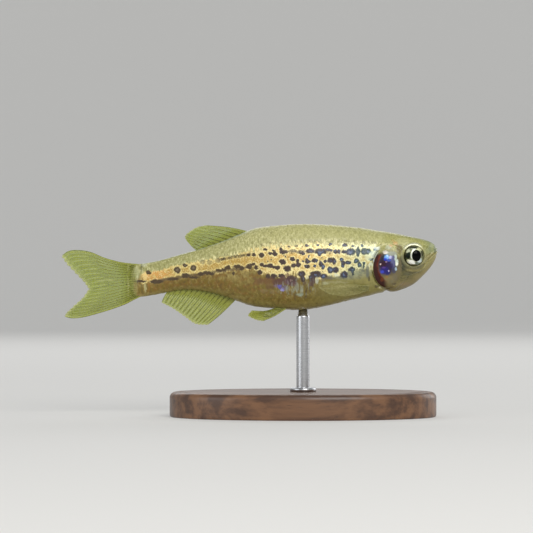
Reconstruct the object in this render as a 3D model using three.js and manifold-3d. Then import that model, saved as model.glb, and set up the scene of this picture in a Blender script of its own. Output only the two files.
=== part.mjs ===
// A zebra danio of the leopard-spotted form, life size, held over a plain oval base by one rod.
// Millimetres, +Z up. The fish faces +X, its right side is at -Y, and its middle plane is Y = 0.
// The origin is on the ground, under the middle of the fish's length.

import * as THREE from 'three';
import { LoftGeometry } from 'three/addons/geometries/LoftGeometry.js';
import { mergeVertices } from 'three/addons/utils/BufferGeometryUtils.js';
import Module from 'manifold-3d';

const wasm = await Module();
wasm.setup();

// Driving dimensions

const SNOUT_X = 22.56;
const TAIL_TIP_X = -22.56;
const TAIL_STALK_END = -13.32;
const GILL_OPENING_X = 15.9;
const VENT_X = -1.2;
const PARTING_GAP = 0.15;
const FIN_THICKNESS = 0.52;
const RAY_RIDGE = 0.14;
const BODY_SEGMENTS = 24;
const RINGS_PER_STATION = 2;

const EYE_RADIUS = 1.17;
const EYE_HALF_DEPTH = 0.82;
const EYE_CENTRE = { x: 19.7, y: 1.42, z: 19.28 };
const EYE_TURN = THREE.MathUtils.degToRad(11);

const GILL_COVER_CENTRE = { x: 16.54, z: 17.86 };
const GILL_COVER_HALF_LENGTH = 1.74;
const GILL_COVER_HALF_HEIGHT = 2.4;
const GILL_COVER_RAISED = 0.12;
const GILL_COVER_SUNK = 0.5;

const BARBEL_RADIUS = 0.25;

const BASE_LENGTH = 32;
const BASE_WIDTH = 20;
const BASE_HEIGHT = 3;
const BASE_BEVEL = 0.5;
const ROD_X = 6.48;
const ROD_RADIUS = 0.8;
const ROD_SOCKET_DEPTH = 1.6;

// Stations along the body, from the tip of the snout to the root of the tail fin. Each gives the
// heights of the back and of the belly, the half width, where up the section it is widest, as a
// share of its depth, and how square the section is: 2 is an ellipse.

const STATIONS = [
  { at: 'tip of the snout', x: SNOUT_X, back: 19.8, belly: 19.8, half: 0, widest: 0.6, square: 2.2 },
  { at: 'lips', x: 22.36, back: 20.5, belly: 18.92, half: 0.78, widest: 0.6, square: 2.2 },
  { at: 'chin', x: 21.8, back: 20.94, belly: 17.96, half: 1.24, widest: 0.6, square: 2.25 },
  { at: 'nostrils', x: 20.95, back: 21.26, belly: 17.0, half: 1.6, widest: 0.59, square: 2.35 },
  { at: 'eyes', x: 19.68, back: 21.56, belly: 15.86, half: 1.95, widest: 0.57, square: 2.4 },
  { at: 'cheeks', x: 18.12, back: 21.88, belly: 15.22, half: 2.2, widest: 0.54, square: 2.35 },
  { at: 'gill covers', x: 16.44, back: 22.18, belly: 14.98, half: 2.34, widest: 0.52, square: 2.3 },
  { at: 'shoulders', x: 14.52, back: 22.54, belly: 14.48, half: 2.44, widest: 0.5, square: 2.25 },
  { at: 'breast', x: 12.12, back: 22.86, belly: 13.93, half: 2.58, widest: 0.47, square: 2.2 },
  { at: 'front of the belly', x: 9.12, back: 23.1, belly: 13.18, half: 2.72, widest: 0.44, square: 2.2 },
  { at: 'deepest belly', x: 6.12, back: 23.18, belly: 12.74, half: 2.76, widest: 0.43, square: 2.2 },
  { at: 'pelvic fins', x: 3.12, back: 22.98, belly: 12.92, half: 2.62, widest: 0.44, square: 2.2 },
  { at: 'front of the dorsal fin', x: 0.72, back: 22.66, belly: 13.16, half: 2.38, widest: 0.47, square: 2.2 },
  { at: 'vent', x: -1.08, back: 21.98, belly: 13.68, half: 2.12, widest: 0.5, square: 2.2 },
  { at: 'front of the anal fin', x: -3.24, back: 21.08, belly: 14.5, half: 1.76, widest: 0.51, square: 2.2 },
  { at: 'rear of the dorsal fin', x: -5.88, back: 20.2, belly: 15.08, half: 1.4, widest: 0.52, square: 2.2 },
  { at: 'rear of the anal fin', x: -8.28, back: 19.52, belly: 15.14, half: 1.12, widest: 0.52, square: 2.15 },
  { at: 'tail stalk', x: -10.68, back: 18.84, belly: 14.68, half: 0.86, widest: 0.52, square: 2.1 },
  { at: 'end of the scales', x: -12.48, back: 18.48, belly: 14.36, half: 0.62, widest: 0.5, square: 2.05 },
  { at: 'root of the tail fin', x: TAIL_STALK_END, back: 18.4, belly: 14.32, half: 0.48, widest: 0.5, square: 2 },
];

// The colours, roughness and metalness of the materials

const FINISHES = {
  skin: { color: 0xb5aa74, roughness: 0.38, metalness: 0.1 },
  gill_cover: { color: 0x5a5a78, roughness: 0.25, metalness: 0.35 },
  eye: { color: 0x1c1c20, roughness: 0.08, metalness: 0 },
  fin: { color: 0xa9ae5c, roughness: 0.45, metalness: 0 },
  wood: { color: 0x4a2f1c, roughness: 0.5, metalness: 0 },
  steel: { color: 0xb9bcc0, roughness: 0.3, metalness: 0.9 },
};

const materials = Object.fromEntries(
  Object.entries(FINISHES).map(([name, finish]) => [name, new THREE.MeshStandardMaterial(finish)]),
);

const fish = new THREE.Group();

// Solids: a closed geometry becomes a solid for cutting, and a cut solid becomes a mesh

function bareGeometry(geometry) {
  const bare = new THREE.BufferGeometry().copy(geometry);
  bare.deleteAttribute('normal');
  bare.deleteAttribute('uv');
  return mergeVertices(bare, 1e-4);
}

function toSolid(geometry) {
  const bare = bareGeometry(geometry);
  const corners = bare.index.array;
  const kept = [];
  for (let i = 0; i < corners.length; i += 3) {
    const [a, b, c] = [corners[i], corners[i + 1], corners[i + 2]];
    if (a !== b && b !== c && c !== a) kept.push(a, b, c);
  }
  return new wasm.Manifold(new wasm.Mesh({
    numProp: 3,
    vertProperties: new Float32Array(bare.attributes.position.array),
    triVerts: new Uint32Array(kept),
  }));
}

function toGeometry(solid) {
  const mesh = solid.getMesh();
  const geometry = new THREE.BufferGeometry();
  const places = new THREE.Float32BufferAttribute(mesh.numProp * mesh.numVert, mesh.numProp);
  places.array.set(mesh.vertProperties);
  geometry.setAttribute('position', places);
  geometry.setIndex(Array.from(mesh.triVerts));
  geometry.computeVertexNormals();
  return geometry;
}

function addPiece(name, solid, finish) {
  const mesh = new THREE.Mesh(toGeometry(solid), materials[finish].clone());
  mesh.name = name;
  fish.add(mesh);
}

function mirrored(geometry) {
  const other = bareGeometry(geometry).scale(1, -1, 1);
  const corners = other.index.array;
  for (let i = 0; i < corners.length; i += 3) {
    [corners[i + 1], corners[i + 2]] = [corners[i + 2], corners[i + 1]];
  }
  return other;
}

// Body form: a smooth curve runs through each column of the stations. Before the first station
// the columns are mirrored, which rounds the snout.

function stationValue(index, column) {
  if (index >= 0) return STATIONS[Math.min(index, STATIONS.length - 1)][column];
  const opposite = { back: 'belly', belly: 'back' }[column] ?? column;
  const value = STATIONS[-index][opposite];
  return column === 'half' ? -value : value;
}

function along(column, place) {
  const start = Math.min(Math.floor(place), STATIONS.length - 2);
  const t = place - start;
  const [before, from, to, after] = [-1, 0, 1, 2].map((step) => stationValue(start + step, column));
  const slope = to - before;
  const nextSlope = after - from;
  const bend = 2 * (from - to) + (slope + nextSlope) / 2;
  return from + t * (slope / 2 + t * (-3 * from + 3 * to - slope - nextSlope / 2 + t * bend));
}

function placeAt(x) {
  let [low, high] = [0, STATIONS.length - 1];
  for (let i = 0; i < 30; i += 1) {
    const middle = (low + high) / 2;
    if (along('x', middle) > x) low = middle;
    else high = middle;
  }
  return (low + high) / 2;
}

function sectionAt(place) {
  const [x, back, belly] = ['x', 'back', 'belly'].map((column) => along(column, place));
  const axis = belly + (back - belly) * along('widest', place);
  return { x, back, belly, axis, half: along('half', place), square: along('square', place) };
}

function bodySection(place, grow) {
  const { x, back, belly, axis, half, square } = sectionAt(place);
  const rounded = (value) => Math.sign(value) * Math.abs(value) ** (2 / square);
  const points = [];
  for (let i = 0; i < BODY_SEGMENTS; i += 1) {
    const angle = (2 * Math.PI * i) / BODY_SEGMENTS;
    const rise = rounded(Math.cos(angle));
    const reach = rise > 0 ? back - axis + grow : axis - belly + grow;
    points.push(new THREE.Vector3(x, (half + grow) * rounded(Math.sin(angle)), axis + reach * rise));
  }
  return points;
}

function leastReach(place) {
  const { back, belly, axis, half } = sectionAt(place);
  return Math.min(half, back - axis, axis - belly);
}

function bodySolid(grow = 0) {
  const tipPlace = 0.16;
  const last = STATIONS.length - 1;
  const places = [tipPlace];
  for (let i = 1; i <= last * RINGS_PER_STATION; i += 1) places.push(i / RINGS_PER_STATION);
  const sections = places.filter((place) => leastReach(place) + grow > 0.1)
    .map((place) => bodySection(place, grow));
  if (grow > 0) {
    sections.unshift(bodySection(tipPlace, 0).map((point) => point.setX(SNOUT_X + grow)));
    sections.push(bodySection(last, grow).map((point) => point.setX(TAIL_STALK_END - grow)));
  }
  return toSolid(new LoftGeometry(sections, { capStart: true, capEnd: true }));
}

function flankAt(x, z) {
  const { back, belly, axis, half, square } = sectionAt(placeAt(x));
  const reach = z > axis ? back - axis : axis - belly;
  return half * Math.max(0, 1 - Math.abs((z - axis) / reach) ** square) ** (1 / square);
}

// Cutters: a flat outline in the side view, extended sideways from one depth to another

function sidePrism(outline, fromY, toY) {
  const shape = new THREE.Shape(outline.map(([x, z]) => new THREE.Vector2(x, z)));
  const geometry = new THREE.ExtrudeGeometry(shape, { depth: toY - fromY, bevelEnabled: false });
  return toSolid(geometry.rotateX(Math.PI / 2).translate(0, toY, 0));
}

function slabBetween(fromX, toX) {
  const [reach, top] = [8, 40];
  return sidePrism([[fromX, 0], [toX, 0], [toX, top], [fromX, top]], -reach, reach);
}

// Gill covers: raised oval plates over the rear of the head

function gillCoverOutline(grow) {
  const oval = new THREE.EllipseCurve(
    GILL_COVER_CENTRE.x,
    GILL_COVER_CENTRE.z,
    GILL_COVER_HALF_LENGTH + grow,
    GILL_COVER_HALF_HEIGHT + grow,
  );
  return oval.getPoints(24).slice(0, -1).map((point) => [point.x, point.y]);
}

function gillCoverPlate(side, grow) {
  const [inner, outer] = [0.4 - grow, 4];
  const reach = side > 0 ? [inner, outer] : [-outer, -inner];
  const column = sidePrism(gillCoverOutline(grow), ...reach);
  return column.subtract(bodySolid(-GILL_COVER_SUNK - grow));
}

// Lower jaw: the wedge under the slanting mouth, from the chin back to below the nostrils

function jawWedge(grow) {
  const corner = { x: 21.3, z: 18.72 };
  const mouthSlope = 0.98;
  const rearSlope = 2.3;
  const [front, low] = [SNOUT_X + 2, 14];
  const inner = [corner.x - grow, corner.z + grow * 0.6];
  const mouthEnd = [front, inner[1] + (front - inner[0]) * mouthSlope];
  const rearEnd = [inner[0] - (inner[1] - low) / rearSlope, low];
  return sidePrism([inner, rearEnd, [front, low], mouthEnd], -3, 3);
}

// Eyes: flattened balls that stand a little proud of the head and turn slightly forward

function eyeBall(side, grow, columns, rows) {
  const ball = new THREE.SphereGeometry(1, columns, rows);
  ball.rotateX(Math.PI / 2);
  ball.scale(EYE_RADIUS + grow, EYE_HALF_DEPTH + grow, EYE_RADIUS + grow);
  ball.rotateZ(-side * EYE_TURN);
  ball.translate(EYE_CENTRE.x, side * EYE_CENTRE.y, EYE_CENTRE.z);
  return toSolid(ball);
}

// Fins: a sheet between four edges, the root, the leading ray, the last ray and the margin, with
// a ridge on both faces for each ray. Each edge is a smooth curve through its named points.

function edge(points) {
  return new THREE.CatmullRomCurve3(points.map(([x, y, z]) => new THREE.Vector3(x, y, z)));
}

function sheetPoint({ root, lead, last, margin }, across, out) {
  const blend = (a, b, share) => a.clone().lerp(b, share);
  const [r0, r1, m0, m1] = [root.getPoint(0), root.getPoint(1), margin.getPoint(0), margin.getPoint(1)];
  const rayward = blend(lead.getPoint(out), last.getPoint(out), across);
  const crossways = blend(root.getPoint(across), margin.getPoint(across), out);
  const corners = blend(blend(r0, r1, across), blend(m0, m1, across), out);
  return rayward.add(crossways).sub(corners);
}

function finGeometry(edges, rays, steps) {
  const columns = 2 * rays;
  const sideways = new THREE.Vector3();
  const sections = [];
  for (let row = -1; row <= steps + 1; row += 1) {
    const out = THREE.MathUtils.clamp(row / steps, 0, 1);
    const closed = row < 0 || row > steps;
    const [near, far] = [[], []];
    for (let column = 0; column <= columns; column += 1) {
      const across = column / columns;
      const middle = sheetPoint(edges, across, out);
      const along1 = sheetPoint(edges, Math.min(1, across + 0.01), out);
      const along0 = sheetPoint(edges, Math.max(0, across - 0.01), out);
      const out1 = sheetPoint(edges, across, Math.min(1, out + 0.01));
      const out0 = sheetPoint(edges, across, Math.max(0, out - 0.01));
      sideways.crossVectors(along1.sub(along0), out1.sub(out0)).normalize();
      const ridge = column % 2 === 0 ? RAY_RIDGE * (1 - 0.5 * out) : 0;
      const thickness = closed ? 0 : FIN_THICKNESS / 2 + ridge / 2;
      near.push(middle.clone().addScaledVector(sideways, thickness));
      far.unshift(middle.clone().addScaledVector(sideways, -thickness));
    }
    sections.push([...near, ...far]);
  }
  return new LoftGeometry(sections);
}

const middlePlane = (points) => edge(points.map(([x, z]) => [x, 0, z]));

const DORSAL_FIN = {
  root: middlePlane([[0.12, 22.2], [-2.9, 20.9], [-6.1, 19.8]]),
  lead: middlePlane([[0.12, 22.2], [-2.3, 22.72], [-5.05, 22.97]]),
  last: middlePlane([[-6.1, 19.8], [-6.6, 20.15], [-6.95, 20.5]]),
  margin: middlePlane([[-5.05, 22.97], [-6.25, 22.75], [-7.15, 22.22], [-7.68, 21.7], [-7.55, 21.2], [-6.95, 20.5]]),
};

const ANAL_FIN = {
  root: middlePlane([[-1.5, 14.1], [-5, 15.35], [-9.7, 15.2]]),
  lead: middlePlane([[-1.5, 14.1], [-3.4, 12.25], [-4.95, 11]]),
  last: middlePlane([[-9.7, 15.2], [-10.2, 14.4], [-10.5, 13.7]]),
  margin: middlePlane([[-4.95, 11], [-6.45, 11.12], [-7.75, 12.0], [-9.1, 12.95], [-10.5, 13.7]]),
};

const TAIL_NOTCH = [-19.26, 15.32];

const TAIL_FIN_UPPER = {
  root: middlePlane([[-13.1, 18.46], [-13, 17.4], [-13, 16.42]]),
  lead: middlePlane([[-13.1, 18.46], [-15.6, 18.62], [-17.4, 19.1], [-18.9, 19.74], [-20.3, 19.98], [-21.6, 19.9], [TAIL_TIP_X, 19.28]]),
  last: middlePlane([[-13, 16.42], [-16, 15.9], TAIL_NOTCH]),
  margin: middlePlane([[TAIL_TIP_X, 19.28], [-21.9, 18.3], [-20.85, 17.2], [-19.85, 16.15], TAIL_NOTCH]),
};

const TAIL_FIN_LOWER = {
  root: middlePlane([[-13, 16.24], [-13, 15.3], [-13.1, 14.2]]),
  lead: middlePlane([[-13, 16.24], [-16, 15.72], [TAIL_NOTCH[0], TAIL_NOTCH[1] - 0.18]]),
  last: middlePlane([[-13.1, 14.2], [-14.9, 13.4], [-16.7, 12.8], [-18.5, 12.26], [-20, 11.9], [-21.2, 11.8], [-22.2, 12.0]]),
  margin: middlePlane([[TAIL_NOTCH[0], TAIL_NOTCH[1] - 0.18], [-20, 14.2], [-21.05, 13.3], [-21.9, 12.5], [-22.2, 12.0]]),
};

const PELVIC_FIN = {
  root: edge([[4.5, 0.85, 12.95], [3.9, 0.9, 13.0], [3.3, 0.85, 13.05]]),
  lead: edge([[4.5, 0.85, 12.95], [3.1, 1.25, 12.1], [1.7, 1.55, 11.5]]),
  last: edge([[3.3, 0.85, 13.05], [1.9, 0.85, 12.7], [0.3, 0.8, 12.75]]),
  margin: edge([[1.7, 1.55, 11.5], [0.75, 1.5, 11.65], [-0.1, 1.2, 12.15], [0.3, 0.8, 12.75]]),
};

const PECTORAL_ROOT = { x: 14.5, top: 15.75, bottom: 15.15 };
const PECTORAL_TIP = { x: 8.2, z: 16.1 };

function pectoralPoint(x, z, clear) {
  return [x, flankAt(x, z) + clear, z];
}

const PECTORAL_FIN = {
  root: edge([
    pectoralPoint(PECTORAL_ROOT.x, PECTORAL_ROOT.top, -0.1),
    pectoralPoint(PECTORAL_ROOT.x - 0.15, PECTORAL_ROOT.bottom, -0.1),
  ]),
  lead: edge([
    pectoralPoint(PECTORAL_ROOT.x, PECTORAL_ROOT.top, -0.1),
    pectoralPoint(12.9, 15.85, 0.42),
    pectoralPoint(10.5, 16.05, 0.72),
    pectoralPoint(PECTORAL_TIP.x, PECTORAL_TIP.z, 0.95),
  ]),
  last: edge([
    pectoralPoint(PECTORAL_ROOT.x - 0.15, PECTORAL_ROOT.bottom, -0.1),
    pectoralPoint(13.2, 14.75, 0.5),
    pectoralPoint(11.6, 14.45, 0.85),
  ]),
  margin: edge([
    pectoralPoint(PECTORAL_TIP.x, PECTORAL_TIP.z, 0.95),
    pectoralPoint(8.35, 15.45, 1.0),
    pectoralPoint(9.6, 14.75, 1.0),
    pectoralPoint(11.6, 14.45, 0.85),
  ]),
};

// Barbels: a short pair on the snout and a long pair at the corners of the mouth

function barbelGeometry(points) {
  const section = new THREE.Shape().absarc(0, 0, BARBEL_RADIUS, 0, 2 * Math.PI);
  return new THREE.ExtrudeGeometry(section, { extrudePath: edge(points), steps: 5, curveSegments: 4 });
}

const ROSTRAL_BARBEL = [[21.95, 0.95, 19.75], [21.6, 1.62, 19.35], [21.15, 1.95, 18.75]];
const MAXILLARY_BARBEL = [[21.2, 1.2, 18.3], [20.75, 1.8, 17.75], [19.8, 2.2, 17.2], [18.6, 2.68, 16.85]];

// Stand: an oval wooden base with a socket, and a round steel rod up to the belly

function baseSolid() {
  const half = BASE_LENGTH / 2;
  const profile = [
    [0, 0],
    [half - BASE_BEVEL / 2, 0],
    [half, BASE_BEVEL / 2],
    [half, BASE_HEIGHT - BASE_BEVEL],
    [half - BASE_BEVEL, BASE_HEIGHT],
    [0, BASE_HEIGHT],
  ].map(([radius, height]) => new THREE.Vector2(radius, height));
  const plate = new THREE.LatheGeometry(profile, 36);
  plate.rotateX(Math.PI / 2).scale(1, BASE_WIDTH / BASE_LENGTH, 1).translate(ROD_X, 0, 0);
  return toSolid(plate);
}

function rodSolid(grow, top) {
  const foot = BASE_HEIGHT - ROD_SOCKET_DEPTH - grow;
  const rod = new THREE.CylinderGeometry(ROD_RADIUS + grow, ROD_RADIUS + grow, top - foot, 20);
  return toSolid(rod.rotateX(Math.PI / 2).translate(ROD_X, 0, (top + foot) / 2));
}

// Assembly: the flesh is one form, parted by thin cuts

const body = bodySolid();
const clearance = bodySolid(PARTING_GAP);
const halfGap = PARTING_GAP / 2;
const pockets = [1, -1].map((side) => gillCoverPlate(side, PARTING_GAP));
const flesh = body.subtract(pockets[0]).subtract(pockets[1]);

const sockets = [1, -1].map((side) => eyeBall(side, PARTING_GAP, 16, 8));
const wholeHead = flesh.intersect(slabBetween(GILL_OPENING_X + halfGap, SNOUT_X + 2));
const head = wholeHead.subtract(sockets[0]).subtract(sockets[1]).subtract(jawWedge(PARTING_GAP));
addPiece('head', head, 'skin');
addPiece('lower_jaw', body.intersect(jawWedge(0)), 'skin');
addPiece('trunk', flesh.intersect(slabBetween(VENT_X + halfGap, GILL_OPENING_X - halfGap)), 'skin');
addPiece('tail_stalk', flesh.intersect(slabBetween(TAIL_STALK_END - 1, VENT_X - halfGap)), 'skin');

for (const [word, side] of [['right', -1], ['left', 1]]) {
  const raised = bodySolid(GILL_COVER_RAISED);
  addPiece(`gill_cover_${word}`, gillCoverPlate(side, 0).intersect(raised), 'gill_cover');
  addPiece(`eye_${word}`, eyeBall(side, 0, 18, 9), 'eye');
}

addPiece('dorsal_fin', toSolid(finGeometry(DORSAL_FIN, 9, 4)).subtract(clearance), 'fin');
addPiece('anal_fin', toSolid(finGeometry(ANAL_FIN, 14, 3)).subtract(clearance), 'fin');
addPiece('caudal_fin_upper', toSolid(finGeometry(TAIL_FIN_UPPER, 9, 5)).subtract(clearance), 'fin');
addPiece('caudal_fin_lower', toSolid(finGeometry(TAIL_FIN_LOWER, 9, 5)).subtract(clearance), 'fin');

const PAIRED_PIECES = [
  ['pelvic_fin', finGeometry(PELVIC_FIN, 7, 3), 'fin'],
  ['pectoral_fin', finGeometry(PECTORAL_FIN, 8, 4), 'fin'],
  ['barbel_rostral', barbelGeometry(ROSTRAL_BARBEL), 'skin'],
  ['barbel_maxillary', barbelGeometry(MAXILLARY_BARBEL), 'skin'],
];

for (const [name, geometry, finish] of PAIRED_PIECES) {
  addPiece(`${name}_left`, toSolid(geometry).subtract(clearance), finish);
  addPiece(`${name}_right`, toSolid(mirrored(geometry)).subtract(clearance), finish);
}

addPiece('stand_base', baseSolid().subtract(rodSolid(PARTING_GAP, BASE_HEIGHT + 1)), 'wood');
addPiece('stand_rod', rodSolid(0, 14).subtract(clearance), 'steel');

export default fish;
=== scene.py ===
# %% [markdown]
# A leopard-spotted zebra danio, life size, held over an oval wooden base by one steel rod.
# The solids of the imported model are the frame: they hold every size and place. This file
# makes the surfaces that are seen: one skin over head, trunk and tail, a coat of thin scales,
# gill covers, eyes, fins with real rays, barbels, and the stand.

# %% Load the frame
import math

import bmesh
import bpy
import numpy as np
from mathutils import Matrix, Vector


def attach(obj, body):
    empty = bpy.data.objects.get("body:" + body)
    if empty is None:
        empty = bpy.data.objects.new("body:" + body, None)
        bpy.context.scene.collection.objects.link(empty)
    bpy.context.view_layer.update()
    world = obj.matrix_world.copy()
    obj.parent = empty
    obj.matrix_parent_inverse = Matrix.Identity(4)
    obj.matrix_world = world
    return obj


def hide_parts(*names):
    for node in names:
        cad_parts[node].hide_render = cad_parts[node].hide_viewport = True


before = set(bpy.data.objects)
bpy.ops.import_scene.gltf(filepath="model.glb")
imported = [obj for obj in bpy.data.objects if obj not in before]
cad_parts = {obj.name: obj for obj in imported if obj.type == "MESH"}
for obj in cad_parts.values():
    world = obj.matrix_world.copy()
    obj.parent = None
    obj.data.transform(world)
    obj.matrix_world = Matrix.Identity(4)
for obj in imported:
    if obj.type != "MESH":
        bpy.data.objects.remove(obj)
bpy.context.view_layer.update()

print("nodes in the frame:", len(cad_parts))

# %% [markdown]
# Two scales are used all through. MM turns millimetres into Blender's metres. PIXEL is the size
# of one pixel of the photograph on the fish, in millimetres, so that a mark read off the
# photograph lands at its place on the body: its column gives X and its row gives Z.

# %% Sizes that everything shares
MM = 0.001
PIXEL = 0.12
PHOTO_SIDE = 533
PHOTO_CENTRE = PHOTO_SIDE / 2
MIDDLE_COLUMN = 249.0
LOWEST_FIN_ROW = 325.0
LOWEST_FIN_Z = 11.0

# The near flank stands closer to the camera than the fish's middle plane, so it looks this much larger.
CAMERA_LENS = 200.0
CAMERA_SENSOR = 36.0
CAMERA_DISTANCE = PHOTO_SIDE * PIXEL * CAMERA_LENS / CAMERA_SENSOR
NEAR_FLANK = 2.3
NEAR_SCALE = CAMERA_DISTANCE / (CAMERA_DISTANCE - NEAR_FLANK)


def seen(column, row):
    """The X and Z in millimetres, on the near flank, of a pixel of the photograph."""
    column = PHOTO_CENTRE + (column - PHOTO_CENTRE) / NEAR_SCALE
    row = PHOTO_CENTRE + (row - PHOTO_CENTRE) / NEAR_SCALE
    return (column - MIDDLE_COLUMN) * PIXEL, LOWEST_FIN_Z + (LOWEST_FIN_ROW - row) * PIXEL


def pixel_of(x, z):
    """The photograph's column and row of a place on the near flank: the reverse of seen."""
    column = MIDDLE_COLUMN + x / PIXEL
    row = LOWEST_FIN_ROW - (z - LOWEST_FIN_Z) / PIXEL
    return tuple(PHOTO_CENTRE + (value - PHOTO_CENTRE) * NEAR_SCALE for value in (column, row))


# %% Soft steps and bumps
def smooth_step(value, low, high):
    """Rises smoothly from 0 at low to 1 at high. It falls where low is above high."""
    share = np.clip((value - low) / (high - low), 0.0, 1.0)
    return share * share * (3 - 2 * share)


def bell(value, width):
    """A soft bump of height 1 at value 0."""
    return np.exp(-((value / width) ** 2))


# %% [markdown]
# The body is a loft. A few stations along it give the heights of the back and the belly, the
# half width, where up the section it is widest and how square the section is. A smooth curve
# through each column gives the section at any place between two stations. It could be sculpted
# instead, but these are the same stations as the solids have, so the skin lies on the frame.

# %% Stations of the body
STATIONS = {
    "x": (22.56, 22.36, 21.8, 20.95, 19.68, 18.12, 16.44, 14.52, 12.12, 9.12, 6.12, 3.12, 0.72,
          -1.08, -3.24, -5.88, -8.28, -10.68, -12.48, -13.32),
    "back": (19.8, 20.5, 20.94, 21.26, 21.56, 21.88, 22.18, 22.54, 22.86, 23.1, 23.18, 22.98, 22.66,
             21.98, 21.08, 20.2, 19.52, 18.84, 18.48, 18.4),
    "belly": (19.8, 18.92, 17.96, 17.0, 15.86, 15.22, 14.98, 14.48, 13.93, 13.18, 12.74, 12.92, 13.16,
              13.68, 14.5, 15.08, 15.14, 14.68, 14.36, 14.32),
    "half": (0, 0.78, 1.24, 1.6, 1.95, 2.2, 2.34, 2.44, 2.58, 2.72, 2.76, 2.62, 2.38,
             2.12, 1.76, 1.4, 1.12, 0.86, 0.62, 0.48),
    "widest": (0.6, 0.6, 0.6, 0.59, 0.57, 0.54, 0.52, 0.5, 0.47, 0.44, 0.43, 0.44, 0.47,
               0.5, 0.51, 0.52, 0.52, 0.52, 0.5, 0.5),
    "square": (2.2, 2.2, 2.25, 2.35, 2.4, 2.35, 2.3, 2.25, 2.2, 2.2, 2.2, 2.2, 2.2,
               2.2, 2.2, 2.2, 2.15, 2.1, 2.05, 2.0),
}
LAST_STATION = len(STATIONS["x"]) - 1
MIRROR_COLUMN = {"back": "belly", "belly": "back"}


def smooth_piece(t, a, b, c, d):
    """A smooth curve from b at t = 0 to c at t = 1, where a comes before them and d after."""
    return b + t * ((c - a) / 2 + t * (a - 2.5 * b + 2 * c - d / 2 + t * (1.5 * (b - c) + (d - a) / 2)))


def along(column, place):
    """The smooth curve through one column of the stations, at places counted in stations."""
    values = np.array(STATIONS[column], float)
    opposite = np.array(STATIONS[MIRROR_COLUMN.get(column, column)], float)
    before = -opposite[1] if column == "half" else opposite[1]
    values = np.concatenate([[before], values, [values[-1], values[-1]]])
    start = np.clip(np.floor(place), 0, LAST_STATION - 1).astype(int)
    return smooth_piece(place - start, *(values[start + step] for step in range(4)))


def place_of(x):
    """The place, in stations, where the body's curve has this X."""
    places = np.linspace(0, LAST_STATION, 4000)
    return np.interp(-np.asarray(x, float), -along("x", places), places)


def section(place):
    """The measures of the section at a place: X, back, belly, widest height, half width, squareness."""
    x, back, belly = (along(column, place) for column in ("x", "back", "belly"))
    axis = belly + (back - belly) * along("widest", place)
    return x, back, belly, axis, along("half", place), along("square", place)


def flank(x, z):
    """How far the body reaches sideways at a given X and Z."""
    _, back, belly, axis, half, square = section(place_of(x))
    reach = np.where(z > axis, back - axis, axis - belly)
    share = np.clip(np.abs(z - axis) / reach, 0, 1)
    return half * (1 - share**square) ** (1 / square)


print("body length to the tail fin, mm:", STATIONS["x"][0] - STATIONS["x"][-1])

# %% [markdown]
# Each ring of the skin has its points at equal distances round the section, so the same two
# numbers, the ring and the share of the way from the back to the belly, find any point of one
# side. The skin, the scales and the bake's map are all laid out in these two numbers. Rings at
# equal angles would be simpler, but they crowd the points along the back and the belly.

# %% Rings round the body
FINE_ANGLES = np.linspace(0, math.pi, 721)


def half_rings(places, grow, columns):
    """Points from the back's middle line to the belly's, on the left side, for many places."""
    x, back, belly, axis, half, square = (value[:, None] for value in section(places))
    rise = np.sign(np.cos(FINE_ANGLES)) * np.abs(np.cos(FINE_ANGLES)) ** (2 / square)
    reach = np.where(rise > 0, back - axis + grow, axis - belly + grow)
    side = (half + grow) * np.sin(FINE_ANGLES).clip(0) ** (2 / square)
    height = axis + reach * rise
    steps = np.hypot(np.diff(side, axis=1), np.diff(height, axis=1))
    travelled = np.concatenate([np.zeros_like(x), np.cumsum(steps, axis=1)], axis=1)
    rings = np.empty((len(places), columns, 3))
    for ring, girth in enumerate(travelled[:, -1]):
        marks = np.linspace(0, girth, columns)
        rings[ring, :, 0] = x[ring, 0]
        rings[ring, :, 1] = np.interp(marks, travelled[ring], side[ring])
        rings[ring, :, 2] = np.interp(marks, travelled[ring], height[ring])
    return rings, travelled[:, -1]


def heights(points):
    """The share of the way up from the belly to the back, at each point's own section."""
    _, back, belly, _, _, _ = section(place_of(points[:, 0]))
    tiny = 0.02
    return np.clip((points[:, 2] - belly + tiny / 2) / (back - belly + tiny), 0, 1)


# %% Meshes from points, with values and a map
def mesh_object(name, points, faces, edges=()):
    """A mesh object at the origin from points in millimetres."""
    mesh = bpy.data.meshes.new(name)
    mesh.from_pydata((np.asarray(points) * MM).tolist(), edges, faces)
    mesh.validate()
    mesh.shade_smooth()
    piece = bpy.data.objects.new(name, mesh)
    bpy.context.scene.collection.objects.link(piece)
    return piece


def add_values(piece, name, values):
    """Stores one number for each point, which a material reads by its name."""
    layer = piece.data.attributes.new(name, "FLOAT", "POINT")
    layer.data.foreach_set("value", np.asarray(values, np.float32).ravel())


def add_map(piece, corner_places):
    """Adds the map that the colours are baked through, from a place for each corner."""
    layer = piece.data.uv_layers.new(name="OFBake")
    layer.uv.foreach_set("vector", np.asarray(corner_places, np.float32).ravel())


# %% [markdown]
# The head's relief is modelled in the skin itself: a socket and rim for each eye, the slanting
# mouth with its lips, two nostrils on each side, the creases round the cheek and the bones
# under the gill cover. Each is a soft bump or groove, given by its distance from a line or an
# oval on the side of the head. A sculpted mesh would do as well, but these keep to real sizes.

# %% Places on the head, in millimetres
EYE_CENTRE = (19.7, 19.28)
EYE_RADIUS = 1.2
EYE_OUT = 1.42
EYE_DEPTH = 0.82
EYE_SQUARE = 3.2
EYE_TURN = math.radians(11)
GILL_CENTRE = (16.54, 17.86)
GILL_HALF = (1.74, 2.4)
MOUTH_CORNER = (21.3, 18.72)
MOUTH_SLOPE = 0.98


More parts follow.
